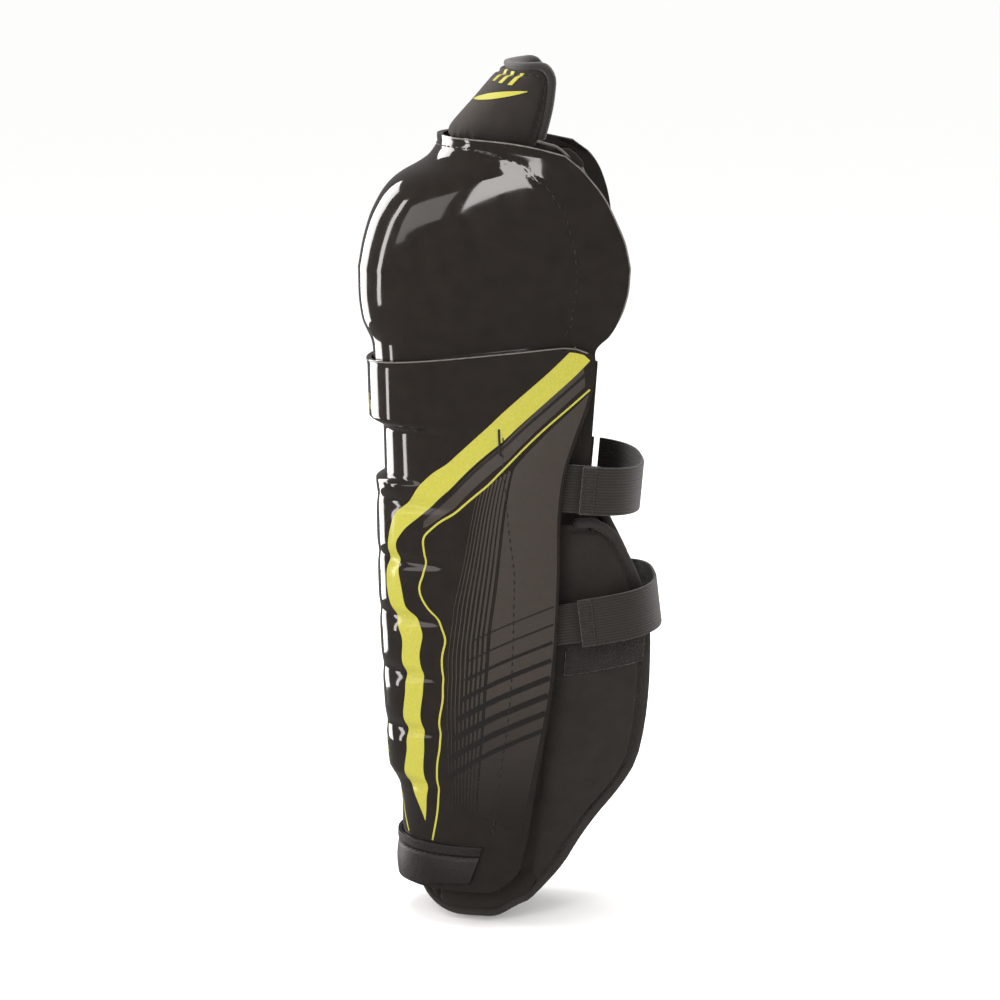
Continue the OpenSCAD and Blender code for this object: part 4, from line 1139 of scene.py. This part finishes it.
class SidePads(bpy.types.Operator):
    """Fills the two side pads inside the ears of the knee cap, with piping round their rims"""
    bl_idname = "shin_guard.side_pads"
    bl_label = "Side pads"

    def execute(self, context):
        for name, low, high in (("lateral", 0.655, 0.95), ("medial", -0.975, -0.645)):
            side = 1 if name == "lateral" else -1
            rise = 9.5 if name == "medial" else 0
            bm = layer(knee_outer, FOAM_OUT + 1.2, FOAM_OUT + 6.6, fixed(low), fixed(high),
                       lambda s: shin_top(s) + 7.5,
                       lambda s: Z_RIM - 16.5 + rise - 6 * corner(s, 0.8), 24, 40)
            rim = [(side * s, z) for s, z in ((0.7, 318), (0.695, 350), (0.7, 380 + rise), (0.73, 391 + rise),
                                              (0.8, 392.5 + rise), (0.88, 389 + rise), (0.905, 378 + rise),
                                              (0.905, 350), (0.905, 326), (0.88, 318))]
            line = surface_path(knee_outer, rim, 160, FOAM_OUT + 7.5, closed=True)[0]

            def seams(points):
                return groove(near(points, line), 1.5, 1.4)
            pad(name + "_side_pad", bm, brushed_knit("Liner knit", "liner"), "guard", "liner_fabric",
                [name + "_knee_pad"], voxel=3.5, cap=1.3, fine=2, seams=seams, fill=0.7)
            edge = [(side * s, z) for s, z in ((0.655, 316), (0.648, 350), (0.655, 384 + rise), (0.69, 397 + rise),
                                               (0.8, 398 + rise), (0.9, 394 + rise), (0.95, 382 + rise),
                                               (0.95, 350), (0.95, 326), (0.9, 316))]
            path, normals = surface_path(knee_outer, edge, 200, FOAM_OUT + 5.6, closed=True)
            cord = tube(path, normals, sizes().piping / MM, 1.5 * sizes().piping / MM, 10, closed=True)
            piece(name + "_side_pad_piping", cord, woven("Piping tape", "piping", 0.9, 0.9), "guard")
        return {"FINISHED"}


class Liner(bpy.types.Operator):
    """Quilts the liner, binds its lower edge and adds the hook tabs that hold it"""
    bl_idname = "shin_guard.liner"
    bl_label = "Liner"

    def execute(self, context):
        top, foot = Z_SEAM + 3, float(liner_zlo(np.float64(1)))

        def face(depth, sign):
            def at(a, b):
                g = mix(foot, top, b)
                s = mix(-1, 1, crowd(a)) * liner_s(g)
                z = mix(liner_zlo(s), top, b)
                middle = np.abs(np.abs(s) - 0.42) * 70
                cross = np.abs(((z - 60) / 48 + 0.5) % 1 - 0.5) * 48 + 99 * (np.abs(s) > 0.42)
                edge = np.minimum.reduce([(z - liner_zlo(s)) , 99 * b + 0 * z]) - 5.5
                quilt = groove(middle, 1.8, 1.5) + groove(cross, 1.8, 1.5) + groove(edge, 1.3, 1.3)
                round_off = 2.0 * np.clip(1 - np.minimum(b * 260, (1 - b) * 260) / 2.5, 0, 1) ** 2
                rim = 2.2 * np.clip(1 - np.minimum(a, 1 - a) * 420 / 3, 0, 1) ** 2
                return offset(shin_plain, s, z, -depth + sign * (quilt + np.maximum(round_off, rim)))
            return at
        bm = slab(150, 220, face(LINER_OUT, -1), face(LINER_IN, 1))
        made = piece("liner", bm, brushed_knit("Liner knit", "liner"), "guard", ["shin_liner"],
                     bevel=0.6)
        made.data.materials.append(spacer_knit())
        for face in made.data.polygons:
            out = face.center - Vector((0, 0.012, face.center.z))
            face.material_index = 1 if face.normal.dot(out) < 0 else 0
        end = float(liner_s(np.float64(13))) - 0.01
        places = [(s, float(liner_zlo(np.float64(s))) - 1.2) for s in np.linspace(-end, end, 90)]
        path, normals = surface_path(shin_plain, places, 200, LINER_MID)
        piece("liner_edge_binding", tube(path, normals, 2.3, 3.1, 16), brushed_knit("Edge knit", "binding"), "guard",
              ["liner_binding"])
        tabs = bmesh.new()
        for side in (-1, 1):
            for up in (0.3, 0.66):
                z = Z_ANKLE + up * SHIN_H
                join(tabs, layer(shin_plain, SHIN_FOAM_IN + LAYER_GAP, SHIN_FOAM_IN + LAYER_GAP + HOOK_T,
                                 fixed(side * 0.35 - 0.08), fixed(side * 0.35 + 0.08), fixed(z), fixed(z + 26),
                                 12, 16))
        piece("liner_hooks", tabs, hook_pile(), "guard", ["liner_hook_tabs"], bevel=0.4)
        return {"FINISHED"}


# ---------------------------------------------------------------- thigh flap

FLAP_SIDE_S = 0.985


def flap_zhi(s):
    return Z_TOP - 5.4 - FLAP_CORNER * corner(s, 0.72)


def flap_rim(inset):
    """Line of places that runs up one side of the flap, over its top and down the other."""
    side = 1 - (1.8 + inset) / (FLAP_W * 0.85)
    bend = Z_TOP - 1.8 - FLAP_CORNER - inset
    half = [(side, Z_FLAP_LO + 4), (side, mix(Z_FLAP_LO, bend, 0.5)), (side, bend)]
    for k in range(1, 6):
        a = math.pi / 2 * k / 6
        half.append((mix(side, 0.72, 1 - math.cos(a)), bend + FLAP_CORNER * math.sin(a)))
    return mirrored(half + [(0.72, Z_TOP - 1.8 - inset), (0.4, Z_TOP - 1.8 - inset), (0.0, Z_TOP - 1.8 - inset)])


class ThighFlap(bpy.types.Operator):
    """Fills the thigh flap, binds its edge and hinges it with a cloth tape"""
    bl_idname = "shin_guard.thigh_flap"
    bl_label = "Thigh flap"

    def execute(self, context):
        def face(near):
            def at(a, b):
                s = mix(-FLAP_SIDE_S, FLAP_SIDE_S, crowd(a))
                z = mix(Z_FLAP_LO + 0.8, flap_zhi(s) + 3.6, b)
                thin = 1.3 * (1 - np.clip(np.minimum(a, 1 - a) * 12, 0, 1)) + 0.8 * (1 - np.clip((1 - b) * 5, 0, 1))
                depth = 1.0 + thin if near else FLAP_T - 1.0 - thin
                return offset(flap_outer, s, z, -depth + 0 * s)
            return at
        seam = surface_path(flap_outer, flap_rim(4.6), 240, 0.6)[0]

        def seams(points):
            return groove(near(points, seam), 1.3, 1.5)
        flap = pad("flap_pad", slab(40, 20, face(True), face(False)), brushed_knit(), "thigh_flap", "pad_fabric",
                   ["thigh_flap_pad"], voxel=3.5, cap=1.5, fine=2, seams=seams, fill=0.6)
        path, normals = surface_path(flap_outer, flap_rim(0), 260, FLAP_T / 2)
        piece("flap_binding", tube(path, normals, 2.3, 4.1, 20), woven("Folded tape", "binding", 1.2, 0.8),
              "thigh_flap", ["thigh_flap_binding"])
        bm = bmesh.new()
        points, normals = surface_path(flap_outer, flap_rim(4.6), 400, 1.2)
        points = onto(flap, points, normals, 0.05)
        piece("flap_seam", thread_row(bm, points, normals, 3.0, 4.2, 0.36, 0.1), polyester_thread(), "thigh_flap")
        marks = bmesh.new()

        def mark(low, high, wide):
            def face(lift):
                def at(a, b):
                    s = mix(low[0], high[0], b) + wide * (2 * a - 1)
                    z = mix(low[1], high[1], b)
                    return onto(flap, flap_outer(s, z), normal(flap_outer, s, z), lift)
                return at
            join(marks, slab(6, 12, face(0.3), face(-0.4)))
        for k in range(3):
            mark((0.2 + 0.16 * k, 442 - 0.6 * k), (0.25 + 0.16 * k, 448.5 - 0.6 * k), 0.03)

        def sweep(lift):
            def at(a, b):
                s = mix(0.06, 0.76, b)
                z = 432.5 + 5.2 * b + (a - 0.5) * 3.4 * np.sin(math.pi * np.clip(b, 0.02, 0.98)) ** 0.7
                return onto(flap, flap_outer(s, z), normal(flap_outer, s, z), lift)
            return at
        join(marks, slab(6, 40, sweep(0.3), sweep(-0.4)))
        piece("flap_marks", marks, silicone_transfer(), "thigh_flap")

        def tape(lift):
            def at(a, b):
                z = mix(Z_RIM - 26, Z_FLAP_LO + 12, b)
                s = mix(-0.3, 0.3, a)
                low = offset(knee_outer, s, np.minimum(z, Z_RIM - 6), -10.6 + lift + 0 * s)
                low[..., 2] = z
                high = offset(flap_outer, s, np.maximum(z, Z_FLAP_LO), -FLAP_T - 0.8 + lift + 0 * s)
                return mix(low, high, smooth((z - Z_RIM + 12) / 13)[:, None])
            return at
        made = piece("hinge_tape", slab(30, 40, tape(0.6), tape(-0.6)), woven("Hinge tape", "binding", 1.0, 0.8),
                     None, ["flap_hinge_tape"], bevel=0.3)
        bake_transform(made)
        return {"FINISHED"}


# ---------------------------------------------------------------- calf wraps

def wrap_face(inset, thick, sign):
    def at(a, b):
        z = mix(Z_WRAP_LO - 4.5, Z_WRAP_HI - 1.0 - max(inset, 0), b)
        hx, hy = hinge_point(z)
        back = hy + np.maximum(wrap_reach(z) - inset, mix(-3, 2, smooth((z - Z_WRAP_LO + 4.5) / 6)))
        y = mix(hy - 9, back, a)
        p, n = wrap_sheet(y, z)
        edge = np.clip(np.minimum(b, 1 - b) * 190 / 6, 0, 1) * np.clip((1 - a) * (back - hy + 9) / 6, 0, 1)
        return p + sign * (thick * mix(0.45, 1, edge ** 0.5))[..., None] * n
    return at


def wrap_rim(inset):
    """Line of (reach, z) places round the free edge of the outer wrap, in mm."""
    fs = np.concatenate([np.linspace(0.0, 0.3, 12), np.linspace(0.34, 0.9, 12), np.linspace(0.92, 1, 6)])
    rise = [(float(mix(Z_WRAP_LO + 4, Z_WRAP_HI - inset, f)),) for f in fs]
    line = [(-9.0 - inset / 2, 9.5), (-5.0 - inset / 2, 13.0), (-1.0 - inset / 2, 17.5)] if inset < 3 else []
    line += [(float(wrap_reach(np.float64(z))) - inset, z) for (z,) in rise]
    end = line[-1]
    return line + [(mix(end[0], 1.5, k / 3), Z_WRAP_HI - inset) for k in (1, 2, 3)]


def wrap_line(inset, out, count, mirror=False):
    """Points and normals along the free edge, out mm off the middle face."""
    line = resample(wrap_rim(inset), count)
    points, normals = wrap_sheet(hinge_point(line[:, 1])[1] + line[:, 0], line[:, 1])
    flip = np.array([-1.0, 1, 1]) if mirror else np.ones(3)
    return (points + out * normals) * flip, normals * flip


class CalfWraps(bpy.types.Operator):
    """Fills the two calf wraps, rolls their edges, sews them and adds the loop patch"""
    bl_idname = "shin_guard.calf_wraps"
    bl_label = "Calf wraps"

    def execute(self, context):
        roll, depth = sizes().roll / MM, sizes().seam / MM
        for name, flip in (("lateral", 1), ("medial", -1)):
            def side(place):
                return lambda a, b: place(a, b) * (flip, 1, 1)
            bm = slab(24, 60, side(wrap_face(-1.2, 2.5, 1)), side(wrap_face(-1.2, 2.5, -1)))
            seam = wrap_line(5.4, 0, 260, flip < 0)[0][:, 1:]

            def seams(points):
                return groove(near(points[:, 1:], seam), 1.3, depth)
            made = pad(name + "_wrap_pad", bm, brushed_knit(), None, "pad_fabric", [name + "_calf_wrap"],
                       voxel=4.0, cap=1.1, fine=2, seams=seams, fill=0.4, ride=False)
            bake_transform(made)
            path, normals = wrap_line(2.0, 0, 300, flip < 0)
            piece(name + "_wrap_edge", tube(path, normals, roll, roll + 0.2, 20), brushed_knit("Edge knit", "binding"),
                  name + "_wrap", [name + "_wrap_binding"])
            rows = bmesh.new()
            for out in (2.5, -2.5):
                points, normals = wrap_line(5.4, out, 300, flip < 0)
                keep = points[:, 1] > 24
                points, normals = points[keep], normals[keep] * np.sign(out)
                thread_row(rows, onto(made, points, normals, 0.05), normals, 2.6, 4.0, 0.34, 0.1)
            piece(name + "_wrap_stitches", rows, polyester_thread(), name + "_wrap")

        z_mid = LOWER["z"] - STRAP_W / 2 + 2

        def patch(out):
            def at(a, b):
                reach = float(wrap_reach(np.float64(z_mid)))
                w = mix(0.06, 0.9, a)
                z = z_mid + 38 * (b - 0.5) + math.tan(math.radians(7)) * w * reach
                p, n = wrap_sheet(hinge_point(z)[1] + w * reach, z)
                return p + out * n
            return at
        piece("loop_patch", slab(40, 30, patch(4.7), patch(3.2)), hook_pile(), "lateral_wrap",
              ["wrap_loop_patch"], bevel=0.5)
        return {"FINISHED"}


# ---------------------------------------------------------------- straps

def strap_place(strap, low, high, depth, half_width):
    """Face of a strip of a strap's loop, between two angles, at a depth off the inside of the loop."""
    half = strap_half(strap["z"])
    tilt = math.radians(strap["tilt"])

    def at(a, b):
        angle = mix(low, high, b)
        x, y = loop_point(angle, half, strap["back"], depth)
        height = mix(-half_width, half_width, a)
        dy = y - STRAP_MID_Y
        return np.stack([x + 0 * a, STRAP_MID_Y + dy * math.cos(tilt) - height * math.sin(tilt),
                         strap["z"] + dy * math.sin(tilt) + height * math.cos(tilt)], -1)
    return at


def strip(strap, low, high, near, far, width, rows, columns=14):
    return slab(columns, rows, strap_place(strap, low, high, far, width / 2),
                strap_place(strap, low, high, near, width / 2))


class Straps(bpy.types.Operator):
    """Cuts the two elastic straps: band, folded end, hook end and the tabs that they join"""
    bl_idname = "shin_guard.straps"
    bl_label = "Straps"

    def execute(self, context):
        elastic = woven("Knitted elastic", "elastic", 1.5, 0.7, "X", 0.3)
        for name, strap, narrow in (("upper", UPPER, STRAP_W), ("lower", LOWER, 21.0)):
            half, back = strap_half(strap["z"]), strap["back"]
            start_at, end_at = loop_angle(STRAP_END_Y, half, back), 180 - loop_angle(SWING_Y + 1, half, back)
            piece(name + "_band", strip(strap, start_at, end_at, 0.1, STRAP_T, STRAP_W, 200), elastic,
                  name + "_strap", [name + "_strap_band"], bevel=0.5)
            hem = strip(strap, start_at + 0.2, loop_angle(STRAP_END_Y + 7, half, back), STRAP_T - 0.3, STRAP_T + 1.0,
                        STRAP_W - 0.6, 12)
            piece(name + "_folded_end", hem, elastic, name + "_strap", bevel=0.5)
            piece(name + "_hook_end", strip(strap, loop_angle(STRAP_END_Y + 1, half, back),
                                            loop_angle(STRAP_TAB_Y + 6, half, back), -HOOK_T - 0.05, -0.05,
                                            STRAP_W - 3, 24), hook_pile(), name + "_strap",
                  [name + "_strap_hook"], bevel=0.3)
            depth = -HOOK_T - SWING_GAP
            piece(name + "_outer_tab", strip(strap, loop_angle(STRAP_SEAM_Y, half, back),
                                             loop_angle(STRAP_TAB_Y, half, back), depth - STRAP_T, depth, narrow, 60),
                  elastic, "guard", [name + "_strap_lateral_tab"], bevel=0.5)
            piece(name + "_inner_tab", strip(strap, 180 - loop_angle(STRAP_SEAM_Y, half, back),
                                             180 - loop_angle(SWING_Y - STRAP_T, half, back), 0.0, STRAP_T,
                                             STRAP_W, 60),
                  elastic, "guard", [name + "_strap_medial_tab"], bevel=0.5)
            rows = bmesh.new()
            for y in (STRAP_END_Y + 1.6, STRAP_END_Y + 5.6):
                angle = loop_angle(y, half, back)
                line = np.linspace(0.06, 0.94, 60)
                face = strap_place(strap, angle, angle, STRAP_T + 1.0, STRAP_W / 2)
                points = face(line, 0 * line)
                out = face(line, 0 * line) - strap_place(strap, angle, angle, 0.0, STRAP_W / 2)(line, 0 * line)
                thread_row(rows, points, unit(out), 2.0, 2.7, 0.32, 0.05)
            piece(name + "_strap_stitches", rows, polyester_thread(), name + "_strap")
        return {"FINISHED"}


# ---------------------------------------------------------------- ankle tab and stitches

ANKLE_TAB_H, ANKLE_TAB_T = 24.0, 1.5


def ankle_face(s, z):
    return offset(shin_outer, s, z, LAYER_GAP + ANKLE_TAB_T + 0 * s)


class AnkleTab(bpy.types.Operator):
    """Cuts the coated tab around the ankle end, with its folded hem"""
    bl_idname = "shin_guard.ankle_tab"
    bl_label = "Ankle tab"

    def execute(self, context):
        def face(depth, raised):
            def at(a, b):
                reach = mix(0.755, 0.79, b)
                s = mix(-reach, reach, a)
                low = mix(1.0, 5.0, smooth((np.abs(s) - 0.3) / 0.45))
                z = mix(Z_ANKLE + low, Z_ANKLE + ANKLE_TAB_H + 0.8, b)
                up = z - Z_ANKLE
                hem = 0.7 * smooth((up - (ANKLE_TAB_H - 4.6)) / 0.9)
                seam = groove(up - (ANKLE_TAB_H - 5.2), 0.8, 0.5)
                belly = 0.8 * np.sin(math.pi * np.clip(up / (ANKLE_TAB_H - 5), 0, 1)) ** 0.8
                wave = 0.25 * np.sin(s * 9 + up * 0.2)
                out = (hem - seam + belly + wave if raised else 0 * s)
                return offset(shin_outer, s, z, out - depth)
            return at
        piece("ankle_tab", slab(110, 48, face(-LAYER_GAP - ANKLE_TAB_T, True), face(-0.25, False)), coated_fabric(),
              "guard", ["ankle_guard_tab"], bevel=0.6, segments=3)
        z = Z_ANKLE + ANKLE_TAB_H - 5.2
        row = stitches(ankle_face, [(s, z) for s in np.linspace(-0.74, 0.74, 40)], 2.4, 3.8, 0.34, -0.1)
        piece("ankle_tab_stitches", row, polyester_thread(), "guard", ["ankle_tab_stitching"])
        return {"FINISHED"}


class CapStitches(bpy.types.Operator):
    """Sews the seam round the knee cap and along the sides of the shin cap"""
    bl_idname = "shin_guard.cap_stitches"
    bl_label = "Cap stitches"

    def execute(self, context):
        r = sizes().thread / MM
        piece("knee_cap_stitches", stitches(knee_outer, KNEE_SEAM, 3.2, 5.0, r, -0.15), polyester_thread(), "guard",
              ["knee_cap_stitching"])
        rows = bmesh.new()
        for side in (-1, 1):
            join(rows, stitches(shin_outer, [(side * s, z) for s, z in SHIN_SEAM], 3.4, 4.4, 1.3 * r, -0.1))
        piece("shin_cap_stitches", rows, polyester_thread(), "guard", ["shin_cap_stitching"])
        # End of the seam's thread, left a little long
        path, normals = surface_path(shin_outer, [(0.745, 266.5), (0.752, 262), (0.763, 256), (0.772, 252)], 30, -0.35)
        piece("thread_end", tube(path, normals, 0.6, 0.45, 8), polyester_thread(), "guard")
        return {"FINISHED"}


# ---------------------------------------------------------------- stage

class Stage(bpy.types.Operator):
    """Lays the paper floor and sets the camera, the lights and the surroundings"""
    bl_idname = "shin_guard.stage"
    bl_label = "Stage"

    def execute(self, context):
        scene = context.scene
        bm = bmesh.new()
        bmesh.ops.create_grid(bm, x_segments=1, y_segments=1, size=40.0)
        bmesh.ops.translate(bm, verts=bm.verts, vec=(0, 0, -0.002))
        floor = piece("paper_floor", bm, paper_sweep())
        floor.visible_glossy = False

        view = bpy.data.cameras.new("View")
        view.lens, view.sensor_width = 122.26, 36
        view.clip_start, view.clip_end = 0.05, 50
        camera = bpy.data.objects.new("View", view)
        scene.collection.objects.link(camera)
        azimuth, elevation = math.radians(87), math.radians(10)
        back = Vector((math.sin(azimuth) * math.cos(elevation), -math.cos(azimuth) * math.cos(elevation),
                       math.sin(elevation)))
        camera.location = Vector((-0.0001, -0.00265, 0.220)) + 1.8 * back
        camera.rotation_euler = back.to_track_quat("Z", "Y").to_euler()
        scene.camera = camera

        target = Vector((0, 0, 0.25))
        # Each lamp: name, place, size, watts, and whether gloss and cloth see it
        for name, spot, size, watts, in_gloss, on_cloth in (
                ("Key softbox", (1.38, -0.8, 0.78), (0.62, 0.5), 9.5, False, True),
                ("Window softbox", (1.40, -0.76, 0.79), (0.84, 0.64), 12.5, True, False),
                ("Front softbox", (0.55, -1.38, 0.66), (0.85, 0.36), 1.6, True, False),
                ("Upper front softbox", (0.3, -1.3, 1.4), (0.9, 0.35), 8, False, True),
                ("Overhead softbox", (-0.3, -0.3, 1.9), (0.9, 0.6), 18, True, True),
                ("Front strip", (-0.3, -1.9, 0.45), (0.2, 1.3), 6, True, True),
                ("Rim wall", (-1.7, -1.5, 0.45), (1.0, 1.9), 34, True, True),
                ("Camera fill", (2.2, 1.3, 1.3), (0.5, 0.9), 7, True, True),
                ("Back wall", (-1.2, 1.9, 0.8), (0.9, 1.4), 14, True, True)):
            data = bpy.data.lights.new(name, "AREA")
            data.color = (1.0, 0.96, 0.94)
            data.shape, data.size, data.size_y, data.energy = "RECTANGLE", size[0], size[1], watts
            lamp = bpy.data.objects.new(name, data)
            lamp.location = spot
            lamp.visible_camera = False
            lamp.visible_glossy, lamp.visible_diffuse = in_gloss, on_cloth
            lamp.rotation_euler = (Vector(spot) - target).to_track_quat("Z", "Y").to_euler()
            scene.collection.objects.link(lamp)

        world = bpy.data.worlds.new("Studio")
        world.use_nodes = True
        scene.world = world
        tree = world.node_tree
        to_gloss = add(tree, "LightPath", output="Is Glossy Ray")
        seen = tree.nodes["Background"]
        wire(tree, seen, {"Color": linear("#FFFFFF"), "Strength": 1.0})
        # Gloss sees a dark room around the lamps, as behind black flags
        room = add(tree, "Background", {"Color": linear("#FFFBF7"), "Strength": 0.17})
        both = add(tree, "MixShader", {0: to_gloss, 1: seen.outputs[0], 2: room})
        wire(tree, tree.nodes["World Output"], {"Surface": both})
        scene.view_settings.view_transform = "Standard"
        return {"FINISHED"}


OPERATORS = (Stage, KneeCap, ShinCap, Prints, Foams, KneeRoll, SidePads, Liner, ThighFlap, CalfWraps, Straps,
             AnkleTab, CapStitches)


class GuardPanel(bpy.types.Panel):
    """Buttons, colours and sizes of the shin guard"""
    bl_idname = "VIEW3D_PT_shin_guard"
    bl_label = "Shin Guard"
    bl_space_type = "VIEW_3D"
    bl_region_type = "UI"
    bl_category = "Shin Guard"

    def draw(self, context):
        for group in (context.scene.guard_colours, context.scene.guard_sizes):
            box = self.layout.box()
            for name in group.__annotations__:
                box.prop(group, name)
        for operator in OPERATORS:
            self.layout.operator(operator.bl_idname)


CLASSES = (GuardColours, GuardSizes) + OPERATORS + (GuardPanel,)


def register():
    for each in CLASSES:
        bpy.utils.register_class(each)
    bpy.types.Scene.guard_colours = bpy.props.PointerProperty(type=GuardColours)
    bpy.types.Scene.guard_sizes = bpy.props.PointerProperty(type=GuardSizes)


def unregister():
    del bpy.types.Scene.guard_colours, bpy.types.Scene.guard_sizes
    for each in reversed(CLASSES):
        bpy.utils.unregister_class(each)


def main():
    register()
    for operator in OPERATORS:
        name = operator.bl_idname.split(".")[1]
        getattr(bpy.ops.shin_guard, name)()


if __name__ == "__main__":
    main()
